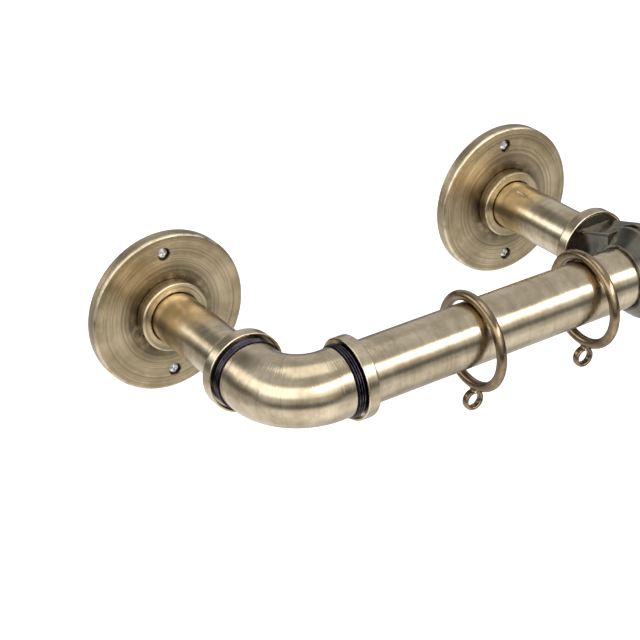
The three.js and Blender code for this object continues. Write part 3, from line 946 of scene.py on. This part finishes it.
@dataclass(frozen=True)
class Foot:
    """A wall plate with its screws, the cover ring, and the stem that stands on it."""

    prefix: str
    centre: np.ndarray
    plate_radius: float
    plate_thickness: float
    screw_offset: float
    ring_low: float
    ring_high: float
    ring_radius: float
    stem_radius: float
    stem_bore: float
    stem_low: float
    stem_high: float
    grub_tilt: float
    plate_edge: float = 1.3 * MM
    back_edge: float = 0.35 * MM
    ring_play: float = 0.3 * MM
    ring_edge: float = 0.9 * MM
    ring_mouth_edge: float = 0.8 * MM
    ring_back_edge: float = 0.15 * MM
    stem_edge: float = 0.25 * MM
    stem_spacing: float = 6 * MM
    hole_clearance: float = 0.3 * MM
    head_mouth: float = 0.15 * MM
    shank_mouth: float = 0.1 * MM
    shank_behind: float = 4 * MM  # how far the shank's drill goes past the plate's back
    seat_play: float = 0.1 * MM
    stud_behind: float = 1.5 * MM
    stud_clearance: float = 0.3 * MM
    grub_radius: float = 1.5 * MM
    grub_mouth: float = 0.12 * MM
    screw_head_height: float = 1.7 * MM
    screw_shank_radius: float = 1.75 * MM
    painted_shade_reach: float = 12 * MM  # how far painted shade spreads on the plate round the cover ring

    @classmethod
    def read(cls, prefix: str) -> "Foot":
        """Take a foot's sizes from the frame.

        Args:
            prefix: left, centre or right.

        Returns:
            The foot.
        """
        names = "wall_plate cover_ring stem_tube stem_plug upper_wall_screw cover_ring_grub_screw"
        plate, ring, stem, plug, upper, grub = (Box.of(f"{prefix}_{name}") for name in names.split())
        away = grub.middle - plate.middle
        return cls(
            prefix=prefix,
            centre=np.array([plate.middle[0], 0.0, plate.middle[2]]),
            plate_radius=plate.size[2] / 2,
            plate_thickness=plate.size[1],
            screw_offset=upper.middle[2] - plate.middle[2],
            ring_low=-ring.high[1],
            ring_high=-ring.low[1],
            ring_radius=ring.size[2] / 2,
            stem_radius=stem.size[2] / 2,
            stem_bore=plug.size[2] / 2 + cls.stud_clearance,
            stem_low=-stem.high[1],
            stem_high=-stem.low[1],
            grub_tilt=math.atan2(away[2], away[0]),
        )

    @property
    def outward(self) -> StraightAxis:
        """The foot's axis, with distances measured out from the wall."""
        return StraightAxis.towards(self.centre, (0, -1, 0))

    @property
    def plate_finish(self) -> MetalFinish:
        """Spun brass with painted shade that darkens the plate towards the cover ring.

        The distance along the plate's profile is the back's radius, the thickness, and then the way
        inwards on the front face.
        """
        at_ring = 2 * self.plate_radius + self.plate_thickness - self.ring_radius
        shade_band = (at_ring - self.painted_shade_reach, at_ring)
        return replace(SPUN_BRASS, name="spun_plate_brass", shade_band=shade_band)

    @property
    def grub_axis(self) -> StraightAxis:
        """Axis of the cover ring's grub screw, out from the stem's axis."""
        middle = (self.plate_thickness + self.ring_high) / 2
        start = self.centre + np.array([0, -middle, 0])
        return StraightAxis.towards(start, (math.cos(self.grub_tilt), 0, math.sin(self.grub_tilt)))

    def plate(self) -> bpy.types.Object:
        """The wall plate, with a blind hole for the stud and two stepped screw holes."""
        stud = Box.of(f"{self.prefix}_stem_stud").size[2] / 2 + self.stud_clearance
        front = self.plate_thickness
        outline = solid(
            Corner(0, 0),
            Corner(0, self.plate_radius, self.back_edge),
            Corner(front, self.plate_radius, self.plate_edge),
            Corner(front, stud),
            Corner(self.stud_behind, stud),
            Corner(self.stud_behind, 0),
        )
        disc = turned(f"{self.prefix}_plate", outline.divided(ROW_SPACING), self.outward)
        screw_top = -Box.of(f"{self.prefix}_upper_wall_screw").low[1]
        seat = screw_top - self.screw_head_height - self.seat_play
        shank = self.screw_shank_radius + self.hole_clearance
        tools = []
        for place, side in (("upper", 1), ("lower", -1)):
            head = Box.of(f"{self.prefix}_{place}_wall_screw").size[2] / 2 + self.hole_clearance
            start = self.centre + np.array([0, 0, side * self.screw_offset])
            axis = StraightAxis.towards(start, (0, -1, 0))
            sunk = drill(seat, front, head, self.head_mouth)
            through = drill(-self.shank_behind, front, shank, self.shank_mouth)
            tools.append(turned("head_hole", sunk, axis, HOLE_SIDES))
            tools.append(turned("shank_hole", through, axis, HOLE_SIDES))
        return work(disc, tools, Join.CUT)

    def screw(self, place: str) -> bpy.types.Object:
        """One wall screw.

        Args:
            place: upper or lower.

        Returns:
            The screw.
        """
        box = Box.of(f"{self.prefix}_{place}_wall_screw")
        head = (box.size[2] / 2, self.screw_head_height)
        model = WallScrew(*head, shank_radius=self.screw_shank_radius, length=box.size[1])
        start = (self.centre[0], box.low[1], box.middle[2])
        return model.build(f"{self.prefix}_{place}_screw", StraightAxis.towards(start, (0.0, 1.0, 0.0)))

    def cover_ring(self) -> bpy.types.Object:
        """The ring that covers the joint of stem and plate, with its grub screw's hole."""
        inner = self.stem_radius + self.ring_play
        outline = rounded(
            [
                Corner(self.ring_low, inner, self.ring_back_edge),
                Corner(self.ring_high, inner, self.ring_mouth_edge),
                Corner(self.ring_high, self.ring_radius, self.ring_edge),
                Corner(self.ring_low, self.ring_radius, self.ring_back_edge),
            ]
        )
        ring = turned(f"{self.prefix}_cover", outline.divided(ROW_SPACING), self.outward)
        radius = self.grub_radius + self.hole_clearance
        hole = drill(self.stem_radius / 2, self.ring_radius, radius, self.grub_mouth)
        return work(ring, [turned("grub_hole", hole, self.grub_axis, HOLE_SIDES)], Join.CUT)

    def cover_grub_screw(self) -> bpy.types.Object:
        """The cover ring's grub screw."""
        start = self.stem_radius + self.hole_clearance
        screw = GrubScrew(self.grub_radius, self.ring_radius - self.ring_edge - start)
        return screw.build(f"{self.prefix}_cover_grub", self.grub_axis.moved(start))

    def stem(self) -> bpy.types.Object:
        """The stem tube."""
        tube = bar(self.stem_low, self.stem_high, self.stem_bore, self.stem_radius, self.stem_edge)
        return turned(f"{self.prefix}_stem", tube.divided(self.stem_spacing), self.outward)

    def make(self, shop: Workshop) -> None:
        """Build and dress every piece of the foot."""
        for node, build, finish in (
            ("wall_plate", self.plate, self.plate_finish),
            ("upper_wall_screw", lambda: self.screw("upper"), ZINC),
            ("lower_wall_screw", lambda: self.screw("lower"), ZINC),
            ("cover_ring", self.cover_ring, SPUN_BRASS),
            ("cover_ring_grub_screw", self.cover_grub_screw, BLACK_STEEL),
            ("stem_tube", self.stem, BRASS),
        ):
            shop.fit(build(), f"{self.prefix}_{node}", finish)
        for hidden in ("stem_plug", "stem_stud"):
            shop.dress_node(f"{self.prefix}_{hidden}", PLAIN_STEEL)


# ---- legs and elbows ------------------------------------------------------------------------------


@dataclass(frozen=True)
class Leg:
    """The fittings on one leg: a cup-shaped collar and, at an elbow, a ridged band.

    Distances run along the leg from the corner where the stem's axis meets the pole's.
    """

    name: str
    corner: np.ndarray
    direction: np.ndarray
    tube_radius: float
    mouth: float
    back: float
    radius: float
    lip: float = 1.1 * MM
    cup_depth: float = 2.0 * MM
    edge: float = 0.45 * MM
    cup_edges: tuple[float, float] = (0.3 * MM, 0.25 * MM)  # at the cup's mouth and at its floor
    bore_edges: tuple[float, float] = (0.15 * MM, 0.2 * MM)  # at the cup's floor and at the back
    shoulder: float = 1.4 * MM
    clearance: float = 0.3 * MM
    grub_radius: float = 1.25 * MM
    grub_mouth: float = 0.12 * MM
    ridge: float = 0.7 * MM
    ridges: int = 3
    rows_per_ridge: int = 14
    ridge_power: float = 0.8  # below 1, which makes the ridges plump
    most_edge_tone: float = 0.9

    @classmethod
    def read(cls, name: str, corner: np.ndarray, direction: np.ndarray, tube_radius: float) -> "Leg":
        """Take a leg's sizes from its collar in the frame.

        Args:
            name: the start of the names of its nodes.
            corner: where the axes meet.
            direction: the way along the leg, away from the corner.
            tube_radius: outer radius of the tube that the collar closes round.

        Returns:
            The leg.
        """
        box = Box.of(f"{name}_collar")
        return cls(name, corner, direction, tube_radius, *box.span(corner, direction), box.size[2] / 2)

    @property
    def axis(self) -> StraightAxis:
        """The leg's axis."""
        return StraightAxis.towards(self.corner, self.direction)

    @property
    def cup_radius(self) -> float:
        """Inner radius of the collar's cup."""
        return self.radius - self.lip

    @property
    def floor(self) -> float:
        """Distance to the bottom of the cup."""
        return self.mouth + self.cup_depth

    @property
    def grub_axis(self) -> StraightAxis:
        """Axis of the collar's grub screw, which points straight down."""
        place = self.corner + self.direction * (self.floor + self.back) / 2
        return StraightAxis.towards(place, (0, 0, -1))

    def collar(self) -> bpy.types.Object:
        """The collar, with its grub screw's hole."""
        bore = self.tube_radius + self.clearance
        outline = rounded(
            [
                Corner(self.floor, self.cup_radius, self.cup_edges[1]),
                Corner(self.floor, bore, self.bore_edges[0]),
                Corner(self.back, bore, self.bore_edges[1]),
                Corner(self.back, self.radius, self.shoulder),
                Corner(self.mouth, self.radius, self.edge),
                Corner(self.mouth, self.cup_radius, self.cup_edges[0]),
            ]
        )
        cup = turned(f"{self.name}_cup", outline, self.axis)
        radius = self.grub_radius + self.clearance
        hole = drill(self.tube_radius / 2, self.radius, radius, self.grub_mouth)
        return work(cup, [turned("grub_hole", hole, self.grub_axis, HOLE_SIDES)], Join.CUT)

    def grub_screw(self) -> bpy.types.Object:
        """The collar's grub screw."""
        start = self.tube_radius + self.clearance
        screw = GrubScrew(self.grub_radius, self.radius - self.edge - start)
        return screw.build(f"{self.name}_grub", self.grub_axis.moved(start))

    def band(self, elbow_radius: float) -> bpy.types.Object:
        """The ridged band, whose shown length swells as (1 - cos) once for each ridge.

        Args:
            elbow_radius: outer radius of the elbow, which the band's valleys keep.

        Returns:
            The band.
        """
        start, end = Box.of(f"{self.name}_band").span(self.corner, self.direction)
        share = np.linspace(0, 1, self.rows_per_ridge * self.ridges + 1)
        swell = (1 - np.cos(FULL_TURN * self.ridges * share)) / 2
        along = start + (self.mouth - start) * share
        height = elbow_radius + self.ridge * swell**self.ridge_power
        # Ridge crests take the pale tone as a painted glint, and the valleys are darkened with painted
        # shade.
        edge_tone = np.clip(2 * swell - 1.1, -self.most_edge_tone, self.most_edge_tone)
        inner = elbow_radius - ELBOW_WALL
        rest = np.array([[end, elbow_radius, 0.0], [end, inner, 0.0], [start, inner, 0.0]])
        rows = np.vstack([np.column_stack([along, height, edge_tone]), rest])
        return turned(f"{self.name}_ferrule", Profile(rows, closed=True), self.axis)

    def make_collar(self, shop: Workshop) -> None:
        """Build and dress the collar and its grub screw."""
        shop.fit(self.collar(), f"{self.name}_collar", BRASS)
        shop.fit(self.grub_screw(), f"{self.name}_collar_grub_screw", BLACK_STEEL)


@dataclass(frozen=True)
class EndCorner:
    """One end of the rod: the elbow that joins a stem to the pole, with the fittings on its legs."""

    prefix: str
    corner: np.ndarray
    pole_way: np.ndarray
    stem_radius: float
    pole_radius: float
    lip: float = 0.35 * MM
    row_spacing: float = 0.9 * MM

    def elbow(self, radius: float) -> bpy.types.Object:
        """The elbow's tube, with rounded lips at both mouths.

        Args:
            radius: the tube's outer radius.

        Returns:
            The elbow. Its bend ends where the pole's joiner starts, less the clearance.
        """
        reach = Box.of(f"{self.prefix}_elbow").high[1] - self.corner[1]
        near, _ = Box.of(f"{self.prefix}_pole_spigot").span(self.corner, self.pole_way)
        bend = near - Leg.clearance
        axis = ElbowAxis(self.corner, self.pole_way, INTO_WALL, bend, reach - bend)
        tube = bar(0, axis.length, radius - ELBOW_WALL, radius, self.lip)
        return turned(f"{self.prefix}_bend", tube.divided(self.row_spacing), axis)

    def make(self, shop: Workshop) -> None:
        """Build and dress the elbow, the fittings on its legs and the joiners inside them."""
        radius = Box.of(f"{self.prefix}_elbow").size[2] / 2
        shop.fit(self.elbow(radius), f"{self.prefix}_elbow", BRUSHED_BRASS)
        for name, way, tube in (
            ("stem", INTO_WALL, self.stem_radius),
            ("pole", self.pole_way, self.pole_radius),
        ):
            leg = Leg.read(f"{self.prefix}_{name}", self.corner, way, tube)
            leg.make_collar(shop)
            shop.fit(leg.band(radius), f"{leg.name}_band", NICKEL)
            shop.dress_node(f"{leg.name}_spigot", PLAIN_STEEL)


# ---- pole and its centre holder -------------------------------------------------------------------


@dataclass(frozen=True)
class Holder:
    """The dark fitting that holds the middle of the pole on the centre stem."""

    centre: np.ndarray
    pole_radius: float
    radius: float
    flange_end: float
    shank_end: float
    flange_radius: float
    shank_radius: float
    half_length: float = 10.5 * MM
    end_radius: float = 15.5 * MM
    band_half: float = 3.0 * MM
    groove_half: float = 1.4 * MM
    groove_depth: float = 1.3 * MM
    barrel_spacing: float = 1.5 * MM
    neck_inset: float = 0.3 * MM
    neck_margin: float = 1.5 * MM
    neck_front: float = 9.0 * MM
    neck_power: int = 26  # the higher, the squarer
    flange_thickness: float = 1.0 * MM
    clearance: float = 0.3 * MM
    grub_radius: float = 2.0 * MM
    grub_mouth: float = 0.15 * MM

    @property
    def groove_radius(self) -> float:
        """Radius at the bottom of the groove."""
        return self.radius - self.groove_depth

    @property
    def neck_width(self) -> float:
        """Half of the neck's width along the pole."""
        return self.half_length - self.neck_inset

    def neck_section(self, along: np.ndarray, radius: np.ndarray, angle: np.ndarray) -> tuple:
        """Square the neck's section, and widen it towards the ring.

        The section's height grows in a straight line from the flange to the upright front edges. Its
        outline is a superellipse: the radius is (|cos(t) w / h| ** p + |sin(t)| ** p) ** (-1 / p)
        times the half width w, where h is the half height and t is the angle from straight up.

        Args:
            along: distances from the pole's axis.
            radius: radii, up to the half width.
            angle: angles round the stem's axis.

        Returns:
            The distances and the changed radii.
        """
        power, width = self.neck_power, self.neck_width
        corner = self.flange_radius - self.neck_margin
        foot = math.sqrt(corner**2 - width**2)
        front = math.sqrt(self.groove_radius**2 - self.neck_front**2)
        share = (self.flange_end - along) / (self.flange_end - self.neck_front)
        height = foot + (front - foot) * share
        upright = np.abs(np.cos(angle) * width / height) ** power
        return along, radius * (upright + np.abs(np.sin(angle)) ** power) ** (-1 / power)

    def neck(self) -> bpy.types.Object:
        """The flat-sided web between the flange and the ring."""
        front, width = self.neck_front, self.neck_width
        end = self.flange_end - self.flange_thickness / 2
        rows = np.array([[front, 0, 0], [front, width, 0], [end, width, 0], [end, 0, 0]])
        block = Profile(rows, closed=False).divided(ROW_SPACING)
        along_stem = StraightAxis.towards(self.centre, (0, 1, 0))
        return turned("neck", block, along_stem, 2 * FINE_SIDES, self.neck_section)

    def flange(self) -> bpy.types.Object:
        """The flange in the stem's cup, with the shank that goes into the stem."""
        start, end = self.flange_end - self.flange_thickness, self.flange_end
        outline = solid(
            Corner(start, 0),
            Corner(start, self.flange_radius, 0.3 * MM),
            Corner(end, self.flange_radius),
            Corner(end, self.shank_radius),
            Corner(self.shank_end, self.shank_radius),
            Corner(self.shank_end, 0),
        )
        along_stem = StraightAxis.towards(self.centre, (0, 1, 0))
        return turned("flange", outline.divided(ROW_SPACING), along_stem)

    def body(self) -> bpy.types.Object:
        """The grooved barrel round the pole, joined to the neck and the flange, then drilled."""
        half = [
            Corner(self.groove_half, self.groove_radius, 0.25 * MM),
            Corner(self.groove_half, self.radius, 0.3 * MM),
            Corner(self.band_half, self.radius, 0.8 * MM),
            Corner(self.half_length, self.end_radius, 0.35 * MM),
            Corner(self.half_length, 0),
        ]
        other = [replace(corner, along=-corner.along) for corner in reversed(half)]
        along_pole = StraightAxis.towards(self.centre, (1, 0, 0))
        outline = solid(*other, *half).divided(self.barrel_spacing)
        barrel = turned("centre_holder", outline, along_pole)
        work(barrel, [self.neck(), self.flange()], Join.ADD)
        reach, bore = self.half_length * 2, self.pole_radius + self.clearance
        pole_hole = solid(
            Corner(-reach, 0), Corner(-reach, bore), Corner(reach, bore), Corner(reach, 0)
        )
        radius = self.grub_radius + self.clearance
        grub_hole = drill(self.pole_radius / 2, self.groove_radius, radius, self.grub_mouth)
        down = StraightAxis.towards(self.centre, (0, 0, -1))
        tools = [
            turned("pole_hole", pole_hole.divided(ROW_SPACING), along_pole),
            turned("grub_hole", grub_hole, down, HOLE_SIDES),
        ]
        return work(barrel, tools, Join.CUT)

    def grub_screw(self) -> bpy.types.Object:
        """The screw that fixes the pole in the holder."""
        start = self.pole_radius + self.clearance
        place = self.centre + np.array([0, 0, -start])
        screw = GrubScrew(self.grub_radius, self.groove_radius - start)
        return screw.build("centre_holder_grub", StraightAxis.towards(place, (0, 0, -1)))

    def make(self, shop: Workshop) -> None:
        """Build and dress the holder and its screw."""
        shop.fit(self.body(), "centre_pole_holder", GUNMETAL)
        shop.fit(self.grub_screw(), "centre_pole_holder_grub_screw", BLACK_STEEL)


@dataclass(frozen=True)
class Pole:
    """The long tube, with rounded ends."""

    wall: float = 1.2 * MM
    edge: float = 0.3 * MM
    row_spacing: float = 10 * MM

    def make(self, shop: Workshop) -> None:
        """Build and dress the pole."""
        box = Box.of("pole")
        radius, half = box.size[2] / 2, box.size[0] / 2
        tube = bar(-half, half, radius - self.wall, radius, self.edge).divided(self.row_spacing)
        shop.fit(turned("long_pole", tube, StraightAxis.towards(box.middle, (1, 0, 0))), "pole", BRASS)


# ---- curtain rings --------------------------------------------------------------------------------


@dataclass(frozen=True)
class CurtainRing:
    """A wire ring that slides on the pole, with the eyelet under it that takes the curtain's hook."""

    number: int
    centre: np.ndarray
    radius: float
    wire: float
    eyelet_centre: np.ndarray
    eyelet_radius: float
    eyelet_depth: float
    eyelet_rim: float = 2.0 * MM
    neck_waist: float = 1.25 * MM
    neck_end: float = 2.1 * MM
    neck_rows: int = 17
    neck_sink: float = 0.6  # how far the neck goes into the wire, over the wire's radius
    wire_rows: int = 36
    wire_sides: int = 160
    rim_rows: int = 32
    rim_sides: int = 72
    rim_power: float = 2.6

    @classmethod
    def read(cls, number: int) -> "CurtainRing":
        """Take a ring's sizes from the frame.

        Args:
            number: the ring's place, from the left.

        Returns:
            The ring.
        """
        ring, eyelet = Box.of(f"curtain_ring_{number}"), Box.of(f"ring_eyelet_{number}")
        wire = ring.size[0] / 2
        outer = eyelet.size[0] / 2
        return cls(
            number=number,
            centre=ring.middle,
            radius=ring.size[2] / 2 - wire,
            wire=wire,
            eyelet_centre=np.array([ring.middle[0], ring.middle[1], eyelet.low[2] + outer]),
            eyelet_radius=outer,
            eyelet_depth=eyelet.size[1],
        )

    def ring(self) -> bpy.types.Object:
        """The wire ring: a circle carried round the pole's direction, paler on its outer side."""
        turn = np.linspace(0, FULL_TURN, self.wire_rows, endpoint=False)
        out = self.radius - self.wire * np.cos(turn)
        edge_tone = np.clip(-1.6 * np.cos(turn) - 0.8, 0, 0.5)
        rows = np.column_stack([self.wire * np.sin(turn), out, edge_tone])
        axis = StraightAxis.towards(self.centre, (1, 0, 0))
        return turned(f"ring_wire_{self.number}", Profile(rows, True), axis, self.wire_sides)

    def eyelet(self) -> bpy.types.Object:
        """The eyelet: a plump loop round a hole, and a waisted neck that runs into the ring's wire.

        The loop's section is a superellipse. The neck's radius is the waist plus the rest of its end
        radius times the square of the distance from its middle.
        """
        turn = np.linspace(0, FULL_TURN, self.rim_rows, endpoint=False)
        power = 2 / self.rim_power
        rim_middle = self.eyelet_radius - self.eyelet_rim / 2
        bulge = np.sign(np.cos(turn)) * np.abs(np.cos(turn)) ** power
        rise = np.sign(np.sin(turn)) * np.abs(np.sin(turn)) ** power
        out = rim_middle - self.eyelet_rim / 2 * bulge
        section = np.column_stack([self.eyelet_depth / 2 * rise, out, 0.3 * np.abs(rise)])
        through = StraightAxis.towards(self.eyelet_centre, (0, 1, 0))
        loop = turned(f"ring_loop_{self.number}", Profile(section, True), through, self.rim_sides)
        wire_bottom = self.centre[2] - self.radius - self.wire
        low, high = rim_middle, wire_bottom - self.eyelet_centre[2] + self.neck_sink * self.wire
        share = np.linspace(-1, 1, self.neck_rows)
        waist = self.neck_waist + (self.neck_end - self.neck_waist) * share**2
        along = low + (high - low) * (share + 1) / 2
        sides = np.column_stack([along, waist, np.zeros(self.neck_rows)])
        outline = Profile(np.vstack([[low, 0.0, 0.0], sides, [high, 0.0, 0.0]]), closed=False)
        upward = StraightAxis.towards(self.eyelet_centre, (0, 0, 1))
        return work(loop, [turned("neck", outline, upward, SMALL_SIDES)], Join.ADD)

    def make(self, shop: Workshop) -> None:
        """Build and dress the ring and its eyelet."""
        body = f"ring_{self.number}"
        shop.fit(self.ring(), f"curtain_ring_{self.number}", BRONZE, body)
        shop.fit(self.eyelet(), f"ring_eyelet_{self.number}", BRONZE, body)


# ---- studio ---------------------------------------------------------------------------------------


@dataclass(frozen=True)
class Softbox:
    """A soft rectangular light that looks at a target."""

    name: str
    place: tuple[float, float, float]
    width: float
    height: float
    power: float
    target: tuple[float, float, float] = (-0.09, -0.09, 0.0)

    def make(self) -> None:
        """Hang the light."""
        light = bpy.data.lights.new(self.name, "AREA")
        light.shape = "RECTANGLE"
        light.size, light.size_y = self.width, self.height
        light.energy = self.power
        lamp = bpy.data.objects.new(self.name, light)
        bpy.context.scene.collection.objects.link(lamp)
        way = Vector(self.target) - Vector(self.place)
        lamp.location = self.place
        lamp.rotation_euler = way.to_track_quat("-Z", "Y").to_euler()
        lamp.visible_camera = False


@dataclass(frozen=True)
class Studio:
    """A pale floor, soft surroundings with panels to mirror, three lights and the camera."""

    floor_drop: float = 0.42
    floor_half: float = 12.0
    floor_squares: int = 8
    floor_glow: float = 0.55
    camera_place: tuple[float, float, float] = (-0.50845, -0.66203, 0.38779)
    azimuth: float = -0.54549
    elevation: float = 0.49829
    roll: float = -0.05527
    lens: float = 104.26
    sensor: float = 36.0
    softboxes: tuple[Softbox, ...] = (
        Softbox("front_strip", (0.35, -1.25, 0.80), 2.2, 0.36, 10),
        Softbox("rear_left", (-1.05, 1.05, 0.62), 0.42, 0.42, 0.7),
        Softbox("overhead", (0.0, -0.1, 1.8), 1.2, 1.2, 5),
    )

    def floor(self) -> None:
        """A plain pale floor, which the metal doesn't mirror."""
        count = self.floor_squares + 1
        share = np.linspace(-1, 1, count) * self.floor_half
        x, y = np.meshgrid(share, share, indexing="ij")
        points = np.column_stack([x.ravel(), y.ravel(), np.full(x.size, -self.floor_drop)])
        numbers = np.arange(count * count).reshape(count, count)
        first = numbers[:-1, :-1].ravel()
        squares = np.column_stack([first, first + count, first + count + 1, first + 1])
        mesh = bpy.data.meshes.new("floor")
        mesh.from_pydata(points.tolist(), [], squares.tolist())
        floor = bpy.data.objects.new("floor", mesh)
        bpy.context.scene.collection.objects.link(floor)
        material = bpy.data.materials.new("floor_paper")
        material.use_nodes = True
        paper, glow = (0.9, 0.9, 0.9, 1.0), (1.0, 1.0, 1.0, 1.0)
        shown = {"Emission Color": glow, "Emission Strength": self.floor_glow}
        Graph(material.node_tree).principled({"Base Color": paper, "Roughness": 0.9, **shown})
        mesh.materials.append(material)
        floor.visible_glossy = False

    def surroundings(self) -> None:
        """Soft grey surroundings with pale and dark panels, and plain white where the camera looks.

        Every panel is a product of soft steps of the direction's parts. A dark panel lies round the
        horizon and dips to the front left. A pale panel stands above it on the left and in front,
        with a thin dark seam over it. The floor in front is paler, and a dark patch hangs behind.
        """
        world = bpy.data.worlds.new("studio")
        bpy.context.scene.world = world
        world.use_nodes = True
        graph = Graph(world.node_tree)
        x, y, z = graph.parts(graph.node("ShaderNodeTexCoord").outputs["Generated"])
        dip = (x * -0.57 + y * -0.82).between(0.45, 0.8)
        low_front = (y * -1.0).between(0.0, 0.4) * z.between(-0.35, -0.55)
        low_left = (x * -1.0).between(-0.4, 0.0) * z.between(-0.4, -0.65)
        level = z.between(0.5, 0.9) * -0.04 + 0.6 + low_front * 0.35 + low_left * 0.35
        above = z + dip * 0.34 + x.between(0.3, 0.6) * 0.1
        horizon = above.between(-0.22, -0.07) * above.between(0.22, 0.07)
        level = level * (1.0 - horizon * 0.72)
        near_side = (x * -0.75 + y * -0.66).between(-0.2, 0.0)
        pale = (z + dip * 0.16).between(0.24, 0.34) * z.between(0.68, 0.58) * near_side
        seam = z.between(0.64, 0.7) * z.between(0.76, 0.7) * near_side
        level = level * (1.0 - seam * 0.35) + pale * 1.35
        behind = (x * -0.25 + y * 0.78 + z * 0.58).between(0.88, 0.97)
        level = level * (1.0 - behind * 0.6)
        soft, white = (
            graph.node("ShaderNodeBackground", None, {"Color": shade, "Strength": 1.0}).outputs[0]
            for shade in (graph.vector(level, level, level), (1, 1, 1, 1))
        )
        seen = graph.node("ShaderNodeLightPath").outputs["Is Camera Ray"]
        both = graph.node("ShaderNodeMixShader", None, {0: seen, 1: soft, 2: white}).outputs[0]
        graph.node("ShaderNodeOutputWorld", None, {"Surface": both})

    def camera(self) -> None:
        """Set the camera up: it looks back along the direction of its azimuth and elevation."""
        east, north = math.cos(self.azimuth), math.sin(self.azimuth)
        flat = math.cos(self.elevation)
        back = Vector((north * flat, -east * flat, math.sin(self.elevation)))
        level = Vector((east, north, 0.0))
        upright = back.cross(level)
        right = level * math.cos(self.roll) + upright * math.sin(self.roll)
        up = upright * math.cos(self.roll) - level * math.sin(self.roll)
        data = bpy.data.cameras.new("camera")
        data.lens, data.sensor_width = self.lens, self.sensor
        data.clip_start, data.clip_end = 0.01, 50.0
        camera = bpy.data.objects.new("camera", data)
        bpy.context.scene.collection.objects.link(camera)
        turn = Matrix((right, up, back)).transposed()
        camera.matrix_world = Matrix.Translation(self.camera_place) @ turn.to_4x4()
        bpy.context.scene.camera = camera

    def make(self) -> None:
        """Build the whole studio."""
        self.camera()
        self.floor()
        self.surroundings()
        for softbox in self.softboxes:
            softbox.make()
        view = bpy.context.scene.view_settings
        view.view_transform, view.look = "Standard", "None"


# ---- assembly -------------------------------------------------------------------------------------


def main() -> None:
    """Build the object in order."""
    logging.basicConfig(level=logging.INFO, format="%(name)s: %(message)s")
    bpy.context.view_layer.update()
    Studio().make()
    shop = Workshop()
    feet = {prefix: Foot.read(prefix) for prefix in ("left", "centre", "right")}
    for foot in feet.values():
        foot.make(shop)
    pole = Box.of("pole")
    pole_radius = pole.size[2] / 2
    corners = {
        prefix: np.array([foot.centre[0], pole.middle[1], pole.middle[2]])
        for prefix, foot in feet.items()
    }
    for prefix, way in (("left", ALONG_POLE), ("right", -ALONG_POLE)):
        EndCorner(prefix, corners[prefix], way, feet[prefix].stem_radius, pole_radius).make(shop)
    Pole().make(shop)
    centre, middle_foot = corners["centre"], feet["centre"]
    stem_leg = Leg.read("centre_stem", centre, INTO_WALL, middle_foot.stem_radius)
    stem_leg.make_collar(shop)
    holder_box = Box.of("centre_pole_holder")
    Holder(
        centre=centre,
        pole_radius=pole_radius,
        radius=holder_box.size[2] / 2,
        flange_end=stem_leg.floor - Leg.clearance,
        shank_end=holder_box.high[1] - centre[1],
        flange_radius=stem_leg.cup_radius - Leg.clearance,
        shank_radius=middle_foot.stem_bore - Leg.clearance,
    ).make(shop)
    for number in range(1, 5):
        CurtainRing.read(number).make(shop)
    LOG.info("%d pieces made", len(shop.made))


if __name__ == "__main__":
    main()
